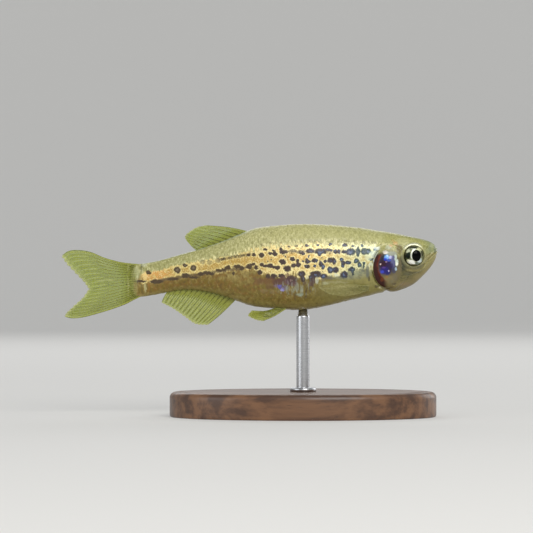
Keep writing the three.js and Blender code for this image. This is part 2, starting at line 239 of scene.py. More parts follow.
# %% Relief of the head
def line_distance(x, z, start, end):
    """Distance from a straight mark between two points on the side of the fish."""
    (x0, z0), (x1, z1) = start, end
    length = math.hypot(x1 - x0, z1 - z0)
    share = np.clip(((x - x0) * (x1 - x0) + (z - z0) * (z1 - z0)) / length**2, 0, 1)
    return np.hypot(x - x0 - share * (x1 - x0), z - z0 - share * (z1 - z0))


def from_mouth_line(x, z):
    """How far a point is above the slanting line of the mouth."""
    rise = (x - MOUTH_CORNER[0]) * MOUTH_SLOPE - (z - MOUTH_CORNER[1])
    return -rise / math.hypot(MOUTH_SLOPE, 1)


def head_relief(x, z, side, height):
    """How far each point of the head is raised along its normal, in millimetres."""
    raised = np.zeros_like(x)
    from_eye = np.hypot(x - EYE_CENTRE[0], z - EYE_CENTRE[1])
    raised += 0.09 * bell(from_eye - 1.38, 0.14)
    raised -= 0.04 * bell(from_eye - 1.7, 0.12)
    above = from_mouth_line(x, z)
    ahead = smooth_step(x + z - sum(MOUTH_CORNER), -0.1, 0.3)
    raised -= 0.16 * bell(above, 0.055) * ahead
    raised += 0.05 * bell(above - 0.14, 0.09) * ahead
    raised += 0.06 * bell(above + 0.15, 0.1) * ahead
    raised -= 0.04 * bell(above + 0.34, 0.07) * ahead
    raised -= 0.05 * bell(above - 0.34, 0.06) * ahead * smooth_step(np.abs(side), 0.2, 0.7)
    raised -= 0.05 * bell(line_distance(x, z, MOUTH_CORNER, (20.95, 18.1)), 0.08)
    for column, row, size in ((427.6, 247.0, 0.11), (425.0, 246.0, 0.13)):
        nostril_x, nostril_z = seen(column, row)
        pit = np.hypot(x - nostril_x, (z - nostril_z) * 1.3)
        raised -= 0.16 * bell(pit, size)
        raised += 0.05 * bell(pit - size * 1.9, 0.07)
    cheek = smooth_step(z, 19.4, 18.2) * smooth_step(x, 17.4, 18.4)
    raised -= 0.035 * bell(from_eye - 2.1, 0.08) * cheek
    raised += 0.03 * bell(from_eye - 1.95, 0.09) * cheek
    spoke = np.arctan2(z - EYE_CENTRE[1], x - EYE_CENTRE[0])
    beside_eye = smooth_step(from_eye, 1.45, 1.6) * smooth_step(from_eye, 2.1, 2.0)
    for angle in (-2.5, -1.9, -1.25):
        raised -= 0.025 * bell(spoke - angle, 0.05) * beside_eye
    fore = np.hypot((x - 16.67) / 2.35, (z - 18.0) / 2.55)
    front_half = smooth_step(x, 17.0, 17.9)
    raised += 0.05 * bell(fore - 1.0, 0.05) * front_half
    raised -= 0.05 * bell(fore - 1.09, 0.035) * front_half
    gill = np.hypot((x - GILL_CENTRE[0]) / GILL_HALF[0], (z - GILL_CENTRE[1]) / GILL_HALF[1])
    behind = smooth_step(x, 16.9, 15.7)
    raised -= 0.16 * bell(gill - 1.02, 0.07) * behind
    raised += 0.04 * bell(gill - 1.22, 0.09) * behind
    girdle = line_distance(x, z, seen(369, 264), seen(372, 286))
    raised += 0.04 * bell(girdle, 0.3) * smooth_step(x, 15.6, 14.9)
    crown = smooth_step(z, 21.0, 21.5) * bell(x - 19.4, 1.4) * bell(np.abs(side) - 0.95, 0.35)
    raised += 0.03 * crown
    throat = smooth_step(height, 0.2, 0.06)
    raised -= 0.2 * bell(x - 16.45, 0.3) * throat
    raised += 0.1 * bell(x - 17.35, 0.7) * throat
    web = line_distance(x, np.abs(side), (16.0, 1.7), (19.1, 0.12))
    raised -= 0.1 * bell(web, 0.09) * smooth_step(height, 0.3, 0.15)
    for offset in (0.28, 0.5):
        ray = line_distance(x, np.abs(side), (16.6, 1.7 - offset), (19.0, 0.25 - offset * 0.3))
        raised -= 0.03 * bell(ray, 0.05) * smooth_step(height, 0.25, 0.1)
    return raised


# %% Eye sockets and lower jaw
def sink_sockets(points):
    """Pushes the skin behind each eye inwards, so that the eyeball shows out to its rim."""
    from_eye = np.hypot(points[..., 0] - EYE_CENTRE[0], points[..., 2] - EYE_CENTRE[1])
    within = smooth_step(from_eye, EYE_RADIUS + 0.05, EYE_RADIUS - 0.12)
    points[..., 1] *= 1 - 0.6 * within
    return points


def narrow_jaw(points, height):
    """Narrows the lower jaw toward its keel, which a loft's plain section can't."""
    ahead = smooth_step(points[..., 0], 17.6, 20.6)
    points[..., 1] *= 1 - 0.24 * smooth_step(height, 0.55, 0.05) * ahead
    return points


# %% [markdown]
# The skin is one grid of rings, closer together on the head, where the relief is fine. Behind
# the head it lies inside the frame by the depth of the coat, so that the tips of the scales
# reach the frame's own surface. A small cap closes the snout. At the rear the body could end
# in a cap as well, but that would show as a step, so it thins to an edge inside the tail fin,
# ribbed over the roots of the rays.

# %% The skin
COAT_DEPTH = 0.07
HEAD_RINGS = 190
BODY_RINGS = 96
TAIL_RINGS = 16
TAIL_CAP = 1.3
ROOT_TOP = 18.3
RAY_PITCH = 0.2144
RIB_RISE = 0.09
HALF_COLUMNS = 161


def coat_depth(x):
    """How deep the scales are along the body: none on the head."""
    return COAT_DEPTH * smooth_step(x, 16.4, 15.2)


nose_places = np.linspace(0.1, 2.0, 44)
head_x = np.linspace(float(along("x", np.array([2.0]))[0]), 14.6, HEAD_RINGS - 43)[1:]
body_x = np.linspace(14.6, STATIONS["x"][-1], BODY_RINGS)[1:]
skin_places = np.concatenate([nose_places, place_of(np.concatenate([head_x, body_x]))])
skin_places[-1] = LAST_STATION
half_skin, _ = half_rings(skin_places, 0.0, HALF_COLUMNS)


# %% The edge inside the tail fin
def tail_wedge(last_ring):
    """Rings that thin the end of the body to an edge, ribbed over the roots of the tail's rays."""
    share = np.linspace(0, 1, TAIL_RINGS + 1)[1:, None]
    middle = (last_ring[0, 2] + last_ring[-1, 2]) / 2
    wedge = np.repeat(last_ring[None], TAIL_RINGS, axis=0)
    wedge[..., 0] -= TAIL_CAP * share
    wedge[..., 1] *= (1 - share) * (1 - 0.2 * share) * 0.99 + 0.01
    wedge[..., 2] = middle + (wedge[..., 2] - middle) * (1 - share**2 * 0.06)
    rib = 0.5 - 0.5 * np.cos(2 * math.pi * (ROOT_TOP - wedge[..., 2]) / RAY_PITCH)
    flesh = smooth_step(share, 0.0, 0.45) * smooth_step(wedge[..., 1], 0.0, 0.1)
    wedge[..., 1] += RIB_RISE * (rib - 0.5) * flesh
    return wedge


half_skin = np.concatenate([half_skin, tail_wedge(half_skin[-1])])
skin_x = half_skin[:, 0, 0]


# %% Both sides of the rings, lifted along their normals
def whole_rings(half):
    """Both sides of the rings, the left going down and the right coming up, without a seam."""
    right = half[:, -2:0:-1].copy()
    right[..., 1] *= -1
    return np.concatenate([half, right], axis=1)


def grid_normals(grid):
    """Outward normals of a grid of rings that closes on itself across its columns."""
    round_step = np.roll(grid, -1, axis=1) - np.roll(grid, 1, axis=1)
    long_step = np.gradient(grid, axis=0)
    normals = np.cross(long_step, round_step)
    normals /= np.linalg.norm(normals, axis=2, keepdims=True).clip(1e-9)
    middle = grid.mean(axis=1, keepdims=True)
    outwards = ((grid - middle) * normals).sum() > 0
    return normals if outwards else -normals


plain = whole_rings(half_skin)
normals = grid_normals(plain)
in_head = smooth_step(plain[..., 0], 14.0, 14.6)
plain_height = heights(plain.reshape(-1, 3)).reshape(plain.shape[:2])
lift = head_relief(plain[..., 0], plain[..., 2], plain[..., 1], plain_height) * in_head
lift -= coat_depth(plain[..., 0])
skin_grid = narrow_jaw(sink_sockets(plain + normals * lift[..., None]), plain_height)
print("skin rings and columns:", skin_grid.shape[:2])


# %% Faces between rings
def ring_faces(rings, columns):
    """Quads between neighbouring rings that close on themselves."""
    faces = []
    for ring in range(rings - 1):
        for column in range(columns):
            a = ring * columns + column
            b = ring * columns + (column + 1) % columns
            faces.append((a, a + columns, b + columns, b))
    return faces


def close_ends(faces, rings, columns):
    """Closes the first and the last ring with a fan to one more point each."""
    front, rear = rings * columns, rings * columns + 1
    last = (rings - 1) * columns
    for column in range(columns):
        after = (column + 1) % columns
        faces.append((front, column, after))
        faces.append((rear, last + after, last + column))
    return faces


# %% [markdown]
# The bake's map of the skin is its own unwrap: along the body one way and round it the other.
# An automatic unwrap would cut the skin into islands and show their seams. The head gets nearly
# half of the map's length, because its detail is finest.

# %% Map of the skin
MAP_EDGE = 0.01
HEAD_SHARE = 0.45


def map_along(x):
    """Where an X lies along the map, from the snout at 0 to the tail at 1."""
    nose, neck, tail = STATIONS["x"][0], 14.4, STATIONS["x"][-1]
    return np.interp(-np.asarray(x, float), (-nose, -neck, -tail), (0, HEAD_SHARE, 1))


def corner_map(piece, along_values, round_values, columns):
    """Places for every corner. The column after the last goes to 1 and not back to 0."""
    mesh = piece.data
    corners = np.empty(len(mesh.loops), int)
    mesh.loops.foreach_get("vertex_index", corners)
    first = np.empty(len(mesh.polygons), int)
    mesh.polygons.foreach_get("loop_start", first)
    totals = np.empty(len(mesh.polygons), int)
    mesh.polygons.foreach_get("loop_total", totals)
    u = along_values[corners]
    v = round_values[corners].copy()
    poles = corners >= len(along_values) - 2
    face_of = np.repeat(np.arange(len(first)), totals)
    v[poles] = np.nan
    highest = np.fmax.reduceat(v, first)[face_of]
    wraps = (highest > 0.75) & (v < 0.25)
    v[wraps] += 1
    middle = np.fmin.reduceat(v, first) + 0.5 / columns
    v = np.where(poles, middle[face_of], v)
    return np.stack([MAP_EDGE + u * (1 - 2 * MAP_EDGE), MAP_EDGE + v * (1 - 2 * MAP_EDGE)], 1)


rings, columns = skin_grid.shape[:2]
tip = np.array([[STATIONS["x"][0], 0, STATIONS["back"][0]]])
stump = skin_grid[-1].mean(axis=0, keepdims=True)
skin_points = np.concatenate([skin_grid.reshape(-1, 3), tip, stump])
skin = mesh_object("skin", skin_points, close_ends(ring_faces(rings, columns), rings, columns))
add_values(skin, "height", heights(skin_points))
ring_along = map_along(np.concatenate([np.repeat(skin_x, columns), [tip[0, 0], stump[0, 0]]]))
round_share = np.concatenate([np.tile(np.arange(columns) / columns, rings), [0, 0]])
add_map(skin, corner_map(skin, ring_along, round_share, columns))


# %% Pieces turned right side out
def volume_of(piece):
    """The volume that a closed mesh holds, in cubic millimetres. Inside out, it is below 0."""
    shape = bmesh.new()
    shape.from_mesh(piece.data)
    volume = shape.calc_volume(signed=True) / MM**3
    shape.free()
    return volume


def face_outwards(piece):
    """Turns a closed mesh right side out."""
    if volume_of(piece) < 0:
        piece.data.flip_normals()


face_outwards(skin)
print("skin volume, cubic mm:", round(volume_of(skin)), "triangles:", 2 * len(skin.data.polygons))

# %% [markdown]
# Materials are node trees, written here as sums. A Wire stands for a socket, and arithmetic on
# wires adds the Math or Vector Math node for it, so a mask reads like the formula that it is.
# Every other node comes from one method, with its settings and its inputs. The nodes could be
# joined by hand in the editor, but a hundred spots would take a hundred copies of the same few.

# %% Wires, and arithmetic on them
def both_ways(operation):
    """The methods for an operator and for its reflected form, where the wire stands second."""
    def forward(self, other):
        return self._with(operation, self, other)

    def reflected(self, other):
        return self._with(operation, other, self)
    return forward, reflected


class Wire:
    """A socket's value on its way through a material."""

    def __init__(self, maker, socket):
        self.maker = maker
        self.socket = socket

    def _with(self, operation, first, second):
        vector = any(
            isinstance(side, tuple) or (isinstance(side, Wire) and side.socket.type == "VECTOR")
            for side in (first, second)
        )
        kind = "ShaderNodeVectorMath" if vector else "ShaderNodeMath"
        return self.maker.node(kind, {"operation": operation}, {0: first, 1: second})

    __add__, __radd__ = both_ways("ADD")
    __sub__, __rsub__ = both_ways("SUBTRACT")
    __mul__, __rmul__ = both_ways("MULTIPLY")
    __truediv__, __rtruediv__ = both_ways("DIVIDE")
    __mod__, __rmod__ = both_ways("FLOORED_MODULO")

    def part(self, axis):
        """One of the three numbers of a vector."""
        return self.maker.node("ShaderNodeSeparateXYZ", {}, {0: self}, axis)

    def length(self):
        return self.maker.node("ShaderNodeVectorMath", {"operation": "LENGTH"}, {0: self}, "Value")

    def step(self, low, high):
        """Rises smoothly from 0 at low to 1 at high, or falls where low is above high."""
        settings = {"interpolation_type": "SMOOTHSTEP"}
        return self.maker.node("ShaderNodeMapRange", settings, {0: self, 1: low, 2: high}, 0)

    def least(self, other):
        return self._with("MINIMUM", self, other)

    def most(self, other):
        return self._with("MAXIMUM", self, other)

    def size(self):
        return self._with("ABSOLUTE", self, 0.0)


# %% One method for every other node
class Maker:
    """Adds nodes to a tree, and gives the value of each as a wire."""

    def node(self, kind, settings, inputs, output=0):
        made = self.tree.nodes.new(kind)
        for name, value in settings.items():
            setattr(made, name, value)
        for key, value in inputs.items():
            socket = made.inputs[key]
            if isinstance(value, Wire):
                self.tree.links.new(value.socket, socket)
            elif socket.type == "VECTOR" and not isinstance(value, tuple):
                socket.default_value = (value, value, value)
            elif socket.type == "RGBA" and len(value) == 3:
                socket.default_value = (*value, 1.0)
            else:
                socket.default_value = value
        return Wire(self, made.outputs[output])


# %% Materials
class Shade(Maker):
    """Builds one material. Its finish goes on the surface shader's own sockets."""

    def __init__(self, name, **finish):
        self.material = bpy.data.materials.new(name)
        self.material.use_nodes = True
        self.tree = self.material.node_tree
        self.surface = self.tree.nodes["Principled BSDF"]
        for socket, value in finish.items():
            self.surface.inputs[socket.replace("_", " ")].default_value = value

    def set(self, **wires):
        """Links wires to sockets of the surface shader."""
        for name, wire in wires.items():
            self.tree.links.new(wire.socket, self.surface.inputs[name.replace("_", " ")])

    def object_place(self):
        return self.node("ShaderNodeTexCoord", {}, {}, "Object")

    def value(self, name):
        return self.node("ShaderNodeAttribute", {"attribute_name": name}, {}, "Fac")

    def noise(self, place, scale, detail=2.0, roughness=0.5, colour=False):
        inputs = {"Vector": place, "Scale": scale, "Detail": detail, "Roughness": roughness}
        return self.node("ShaderNodeTexNoise", {}, inputs, "Color" if colour else 0)

    def cells(self, place, scale):
        return self.node("ShaderNodeTexVoronoi", {}, {"Vector": place, "Scale": scale}, "Distance")

    def mix(self, share, first, second):
        """A colour between two others."""
        settings = {"data_type": "RGBA"}
        return self.node("ShaderNodeMix", settings, {0: share, 6: first, 7: second}, 2)

    def bump(self, height, depth, strength):
        """Raises and sinks the surface's normal. depth is in metres."""
        inputs = {"Height": height, "Distance": depth, "Strength": strength}
        return self.node("ShaderNodeBump", {}, inputs)

    def centred_noise(self, place, scale, detail):
        """Three noises at once, as a vector around zero."""
        return self.noise(place, scale, detail, colour=True) - (0.5, 0.5, 0.5)


# %% Colours as seen on a screen
def paint(red, green, blue):
    """A colour as seen on a screen, 0 to 255, as the light that the shaders work in."""
    def to_light(level):
        level /= 255
        return level / 12.92 if level <= 0.04045 else ((level + 0.055) / 1.055) ** 2.4
    return tuple(to_light(level) for level in (red, green, blue))


# %% [markdown]
# The markings. The fish's back is speckled olive-beige, its flank pale gold, and its lower side
# brown, darkened further by painted shade. Rows of dark spots cross the gold, each a small oval
# placed where it is on the fish.
# They could be painted on an image, but an image is only as sharp as its pixels. Here the
# distance to the nearest oval is worked out in the material, so the edges stay crisp on the
# skin and on the scales alike, and noise shifts the place first, which frays them.

# %% Spots, in the photograph's pixels: column, row, half length, half height
UPPER_ROW = (
    (248.6, 254.8, 1.5, 1.1), (254, 254.6, 1.7, 1.6), (261.5, 255, 2.1, 2), (265.5, 249.5, 1.5, 1.2),
    (270.4, 253.5, 2, 1.3), (274.6, 253.9, 2.1, 2), (273.4, 250.3, 1.2, 0.9), (280.8, 249.3, 1.1, 1.6),
    (283.4, 252.1, 3.2, 1.5), (293, 250.5, 2.8, 1.2), (300.4, 252.1, 2.6, 1.4), (303, 253.8, 1.6, 1),
    (310.2, 250.9, 3, 1.8), (320.4, 251.6, 4.6, 2.4), (319.5, 254, 1.8, 1.6), (328.5, 250, 2.8, 1.4),
    (335.4, 251.7, 1.7, 1.7), (338.6, 251.7, 1.3, 1.7), (344.1, 251.8, 1.8, 1.6), (350.6, 251.9, 3.7, 2.7),
    (358, 251.8, 1.8, 3.7), (364, 251.2, 2.6, 2.6), (368.4, 251.6, 2.3, 2.4), (375.5, 249.2, 1.8, 1.3),
)
SECOND_ROW = (
    (282.5, 262, 2.6, 2.2), (292.3, 259.3, 2, 1.7), (297.4, 261.2, 1.4, 1.8), (302.7, 261.3, 1, 1),
    (308, 261.6, 2.5, 1.4), (306.8, 259.4, 1, 0.9), (314.7, 260.6, 2.6, 1.9), (325.3, 261, 1.3, 1.2),
    (330, 260.4, 2.3, 2), (333.8, 260.9, 2, 2.4), (341.8, 259.3, 1.7, 1.3), (343, 263.2, 1.8, 2),
    (342.6, 266, 1.5, 1.2), (348.1, 262.5, 2.3, 1.6), (356.3, 261, 2, 1.9), (359.6, 264.6, 1.5, 2.3),
    (364, 263.4, 1.2, 1.2), (363.7, 266.5, 1, 1.6), (370.8, 259.4, 1.8, 1.2),
)
THIRD_ROW = (
    (287.4, 268.7, 2.9, 2.6), (293.7, 265.7, 2.1, 1.5), (298.2, 265, 2.2, 2), (307, 266.5, 2.3, 1.6),
    (314.7, 266.4, 1.2, 1.1), (320.7, 264.2, 1.6, 2.1), (323, 266.6, 1.6, 2.2), (330.3, 270, 2.5, 2.4),
    (335.6, 270, 2.5, 2.4), (352.1, 269.3, 2.6, 2), (352.6, 272.6, 1.1, 2.2),
)
TAIL_SPOTS = (
    (148.2, 272.6, 2.1, 1.5), (176.8, 269.9, 2.6, 2.5), (184.7, 265.1, 1.9, 1.4), (193.4, 267.8, 2.4, 2.4),
    (202.5, 262, 2.1, 1.9), (209.2, 262.2, 2, 1.9), (217.8, 260.6, 1.9, 1.8), (222.3, 259.5, 1.4, 1.1),
)
LOWER_CHAIN = (
    (139.5, 281.4, 5.4, 0.9), (156.4, 281.6, 5.2, 1.5), (172.8, 279, 4.6, 1.3), (185.5, 275.9, 3, 1.9),
    (193.6, 277.6, 4, 0.9), (200.8, 273.9, 2.4, 1.6), (206.5, 272.9, 3.8, 1.4), (211.5, 273.7, 2.4, 1.2),
    (218.8, 270.4, 2.6, 1.3), (223.8, 269.8, 1.8, 1), (227.6, 267.6, 2.6, 1.9), (237.1, 266.4, 3.2, 1.7),
    (241.6, 268, 1.9, 1.7), (249, 266.6, 2.4, 1.8), (252.6, 264.3, 2.4, 1.3), (256.2, 267.3, 1.5, 1.7),
    (259.7, 272.1, 2, 1.8), (262, 264.7, 2, 1.4), (265.5, 266, 2.1, 1.3), (270, 265.6, 2.3, 1.8),
    (273.7, 266.9, 1.9, 1.1), (277.6, 267.8, 2.2, 1.9), (233.4, 273.4, 1.4, 1.2), (268.2, 276.3, 1.9, 1.7),
    (273.6, 276.2, 2.3, 1.9), (281.2, 276, 2.7, 1.5),
)
BELLY_SPOTS = (
    (301.6, 274, 2.8, 2.6), (302.8, 278.4, 1.9, 2.6), (315.7, 274.2, 4.6, 2.6), (311.4, 278, 2.6, 2.6),
    (323.6, 276, 3, 1.8), (344, 274.6, 3, 2.7),
)
FLECKS = (
    (289, 246.6, 1.1, 0.8), (296, 246, 1.2, 1), (307, 245.6, 1.3, 1), (318, 245.4, 1.1, 0.9),
    (330, 244.4, 1.3, 1.1), (344.5, 245.3, 2.1, 1.5), (353, 246, 1.1, 0.9), (362, 245.8, 1.2, 1),
    (285.4, 256.5, 0.8, 0.8), (308.6, 256.4, 0.9, 1.2), (271.5, 259.7, 0.7, 0.7), (268, 261.3, 0.6, 0.6),
)
ALL_SPOTS = UPPER_ROW + SECOND_ROW + THIRD_ROW + TAIL_SPOTS + LOWER_CHAIN + BELLY_SPOTS + FLECKS
print("spots on each side:", len(ALL_SPOTS))


# %% Places in the material, in the photograph's pixels
def photo_place(shade):
    """Where a point is in the photograph: column, depth from the middle plane, and row."""
    scale = NEAR_SCALE / (PIXEL * MM)
    first_column, first_row = pixel_of(0, 0)
    settings = {"operation": "MULTIPLY_ADD"}
    inputs = {0: shade.object_place(), 1: (scale, scale, -scale), 2: (first_column, 0, first_row)}
    return shade.node("ShaderNodeVectorMath", settings, inputs)


def oval(shade, place, column, row, half_length, half_height):
    """The distance from an oval's centre, as a share of its size: 1 on its edge."""
    settings = {"operation": "MULTIPLY_ADD"}
    share = (1 / half_length, 0, 1 / half_height)
    offset = (-column / half_length, 0, -row / half_height)
    return shade.node("ShaderNodeVectorMath", settings, {0: place, 1: share, 2: offset}).length()


def nearest(shade, place, ovals):
    """The distance to the nearest of many ovals."""
    distance = oval(shade, place, *ovals[0])
    for one in ovals[1:]:
        distance = distance.least(oval(shade, place, *one))
    return distance


def shifted(shade, place, scale, reach):
    """A place moved about by noise, by up to half of reach pixels each way."""
    return place + shade.centred_noise(place, scale, 2) * (reach, reach, reach)


def dab(shade, place, colour, dabs):
    """Lays soft oval dabs of paint over a colour: column, row, two half sizes, strength, paint."""
    for column, row, half_length, half_height, strength, shades in dabs:
        edge = oval(shade, place, column, row, half_length, half_height).step(1.25, 0.6)
        colour = shade.mix(edge * strength, colour, paint(*shades))
    return colour


# %% [markdown]
# Colours are laid from the ground up, as a painter would: first the back, the flank and the
# belly with frayed borders between them, then the gold, deep between the rows of spots and
# pale round each spot, then the dark spots, and last the dabs of brown, violet and silver
# on the belly, where the gut shines through the thin wall, with one blue painted glint.

# %% Dabs of paint on the body
# The blue and blue-white pair at columns 279 to 282, rows 286 to 290, is a painted glint.
BELLY_DABS = (
    (268, 281, 10, 3.8, 0.65, (104, 66, 40)), (258, 281, 5, 3.5, 0.5, (104, 70, 44)),
    (279, 282, 6.8, 4.4, 0.9, (84, 52, 46)), (291, 280, 7.4, 5.2, 0.95, (66, 40, 44)),
    (283.4, 277.6, 3.2, 2.2, 0.85, (88, 56, 50)), (293.4, 284, 3.6, 2.4, 0.7, (96, 68, 74)),
    (288.4, 283, 1.3, 1.1, 0.7, (134, 108, 116)), (286.8, 281.8, 3, 2.2, 0.6, (104, 76, 84)),
    (291.8, 280.4, 1.6, 1.1, 0.6, (150, 124, 116)), (312.6, 282, 2.6, 4.2, 0.85, (80, 56, 54)),
    (310, 284.6, 1.6, 2.4, 0.6, (96, 74, 78)), (304.6, 282.8, 1.4, 2.6, 0.6, (84, 64, 54)),
    (329, 277.6, 4.4, 1.8, 0.75, (98, 92, 82)), (323, 279.6, 2.6, 1.6, 0.6, (110, 100, 84)),
    (287, 274.6, 2.2, 1.6, 0.7, (96, 64, 56)), (271.6, 278.2, 3.4, 1.5, 0.7, (88, 58, 42)),
    (279.3, 286.5, 2.1, 1.8, 0.9, (84, 80, 176)), (282.2, 289.6, 2.2, 1.8, 0.85, (150, 146, 214)),
    (276, 286, 2.6, 1.8, 0.6, (116, 96, 116)), (286, 288, 3, 2.4, 0.5, (124, 122, 150)),
    (270, 286.4, 5, 2.6, 0.55, (98, 66, 48)), (283.6, 287, 3.4, 2.4, 0.5, (96, 80, 100)),
    (264, 291, 4, 2.4, 0.35, (140, 122, 90)), (272, 292, 3, 2, 0.35, (146, 128, 94)),
    (296.5, 287.4, 1.8, 5.2, 0.5, (150, 158, 146)), (301.5, 290.5, 2.2, 5.8, 0.5, (144, 154, 138)),
    (292.5, 291, 1.4, 5, 0.45, (142, 144, 118)), (287.6, 289, 1.6, 3.4, 0.4, (140, 144, 126)),
    (316.8, 280.4, 1.7, 4, 0.75, (188, 192, 170)), (307.4, 277.4, 1.1, 3, 0.7, (206, 204, 166)),
    (299, 294.6, 4, 1.4, 0.5, (160, 180, 162)), (306, 292, 1, 7, 0.7, (74, 58, 34)),
    (309.5, 288.6, 0.9, 5, 0.6, (86, 68, 42)), (295, 296, 0.8, 5, 0.5, (88, 72, 42)),
    (299.4, 287, 0.8, 4, 0.5, (84, 74, 56)), (322, 285, 0.8, 5, 0.4, (104, 94, 60)),
    (325.5, 283.4, 3.6, 2, 0.55, (184, 190, 160)), (337, 282.6, 13, 1.1, 0.4, (180, 176, 136)),
    (348, 286.4, 14, 1, 0.4, (186, 176, 126)), (333, 288, 11, 1, 0.3, (164, 160, 122)),
    (336.5, 274.6, 2.6, 1.4, 0.75, (222, 226, 200)), (330.4, 274.2, 1.4, 1.4, 0.6, (216, 214, 176)),
    (351, 277, 3.4, 2, 0.5, (104, 106, 90)), (358, 272.6, 4, 2.4, 0.5, (140, 146, 116)),
    (362.6, 268.6, 1.8, 3.4, 0.6, (96, 104, 94)), (358.4, 277.6, 2.6, 1.6, 0.4, (116, 114, 86)),
)
TAIL_DABS = (
    (144.3, 276, 2.6, 4.2, 0.7, (236, 212, 142)), (140.8, 268, 0.9, 4.4, 0.75, (84, 84, 48)),
    (139.4, 276.6, 1.2, 3.4, 0.5, (120, 112, 66)), (148.6, 286, 1, 6, 0.65, (140, 98, 34)),
    (144.6, 287.5, 1.3, 5.4, 0.55, (190, 186, 136)), (141.2, 288, 0.8, 5.4, 0.5, (88, 80, 42)),
    (143.5, 264.5, 3, 2.4, 0.5, (196, 200, 170)), (135.5, 273, 3, 8, 0.45, (190, 192, 146)),
    (134, 289, 3, 6, 0.4, (168, 158, 100)),
)
# The last three dabs, a blue-white streak along the rim just behind the gill cover, are a painted highlight.
SHOULDER_DABS = (
    (374.6, 254.5, 5.4, 4.2, 0.75, (206, 220, 206)), (368.5, 257.5, 4.4, 3, 0.6, (216, 222, 186)),
    (371.2, 264, 2.4, 2.2, 0.6, (206, 222, 206)), (377, 248.6, 3.6, 1.8, 0.8, (240, 246, 232)),
    (381.8, 251.2, 1.6, 1.6, 0.6, (160, 176, 176)), (375.6, 249.6, 1.6, 1.2, 0.7, (110, 132, 150)),
    (367.6, 271, 1.7, 7.4, 0.75, (88, 94, 90)), (371, 270, 1.2, 6, 0.45, (120, 124, 104)),
    (369, 278.6, 1, 2.6, 0.8, (62, 54, 36)), (376.6, 286.6, 1.7, 1.5, 0.8, (78, 68, 42)),
    (380.6, 287.4, 1.6, 1.1, 0.7, (196, 188, 150)), (374.2, 261.2, 0.9, 2, 0.95, (222, 236, 244)),
    (376.2, 257.6, 1, 1.9, 0.95, (216, 232, 246)), (379.2, 253.8, 1, 1.7, 0.9, (214, 228, 240)),
)


# %% Colour of the back
FIN_ROOT_PAINT = (134, 138, 62)


def back_colour(shade, place, column, height):
    """Olive beige with short upright specks, and a dotted pale blue line along the ridge, a painted
    highlight.
    """
    strokes = shade.noise(place * (1.0, 1.0, 0.42), 0.62, 2, 0.6)
    fine = shade.noise(place * (1.0, 1.0, 0.7), 1.7, 2, 0.6)
    speck = strokes * 0.62 + fine * 0.38
    colour = shade.mix(column.step(300, 150), paint(182, 178, 118), paint(154, 152, 92))
    colour = shade.mix(column.step(300, 372), colour, paint(176, 174, 112))
    bold = 0.5 + column.step(330, 250) * 0.35
    colour = shade.mix(speck.step(0.44, 0.76) * (bold + 0.1), colour, paint(216, 212, 166))
    colour = shade.mix(speck.step(0.56, 0.28) * (bold + 0.1), colour, paint(126, 124, 74))
    dots = shade.noise(place * (1.0, 1.0, 0.3), 0.5, 2, 0.6).step(0.42, 0.6)
    # The dotted pale blue line along the rear of the ridge is a painted highlight.
    ridge = height.step(0.955, 0.995) * column.step(262, 236)
    return shade.mix(ridge * (0.2 + dots * 0.7), colour, paint(176, 198, 186)), speck


# %% Colour of the lower side
def low_colour(shade, place, column, height, speck):
    """Brown toward the tail, olive under the breast, and paler along the keel, its ground darkened by painted
    shade.
    """
    smear = shade.noise(place * (0.62, 0.62, 0.42), 0.5, 3, 0.6)
    mottle = shade.noise(place, 0.22, 3, 0.6)
    # The ground paints are the lower side's own brown and olive, kept darker than they are as painted shade
    # from the light above.
    colour = shade.mix(column.step(262, 200), paint(118, 101, 36), paint(116, 95, 22))
    colour = shade.mix(column.step(300, 345), colour, paint(138, 132, 74))
    amber = mottle.step(0.45, 0.62) * column.step(310, 280)
    colour = shade.mix(amber * 0.6, colour, paint(128, 92, 34))
    chain = height.step(0.24, 0.4) * column.step(262, 240)
    colour = shade.mix(chain * mottle.step(0.62, 0.42) * 0.75, colour, paint(162, 144, 84))
    keel = height.step(0.16, 0.02)
    colour = shade.mix(keel * 0.6, colour, paint(160, 150, 92))
    rear = 0.35 + column.step(335, 300) * 0.65
    colour = shade.mix(smear.step(0.5, 0.74) * rear * 0.55, colour, paint(170, 154, 92))
    colour = shade.mix(smear.step(0.5, 0.26) * rear * 0.6, colour, paint(80, 62, 20))
    fringe = oval(shade, place, 346, 273, 26, 7).step(1.2, 0.5)
    colour = shade.mix(fringe * 0.8, colour, paint(150, 152, 120))
    colour = shade.mix(fringe * mottle.step(0.52, 0.38) * 0.7, colour, paint(92, 94, 82))
    return shade.mix(speck.step(0.54, 0.3) * rear * 0.4, colour, paint(84, 68, 28))


# %% Colour of the gold
def gold_colour(shade, place, frayed, column, halo, border):
    """Deep gold between the rows, pale round the spots and along the borders, orange by the tail."""
    crumbs = shade.noise(place, 0.62, 3, 0.65)
    pale = (crumbs * 0.8 + halo * 0.26 + border * 0.17).step(0.34, 0.66)
    deep = shade.mix(column.step(300, 230), paint(206, 166, 84), paint(180, 146, 66))
    deep = shade.mix(column.step(300, 360), deep, paint(196, 182, 120))
    net = shade.mix(column.step(290, 225), paint(242, 226, 160), paint(224, 204, 130))
    net = shade.mix(column.step(320, 365), net, paint(226, 228, 178))
    colour = shade.mix(pale, deep, net)
    orange = oval(shade, frayed, 155, 275, 17, 6).step(1.3, 0.5)
    colour = shade.mix(orange * crumbs.step(0.7, 0.36) * 0.9, colour, paint(222, 160, 84))
    grit = shade.noise(place, 1.1, 2, 0.6)
    colour = shade.mix(grit.step(0.54, 0.68) * 0.6, colour, paint(158, 122, 62))
    return shade.mix(grit.step(0.46, 0.32) * 0.6, colour, paint(252, 244, 194))


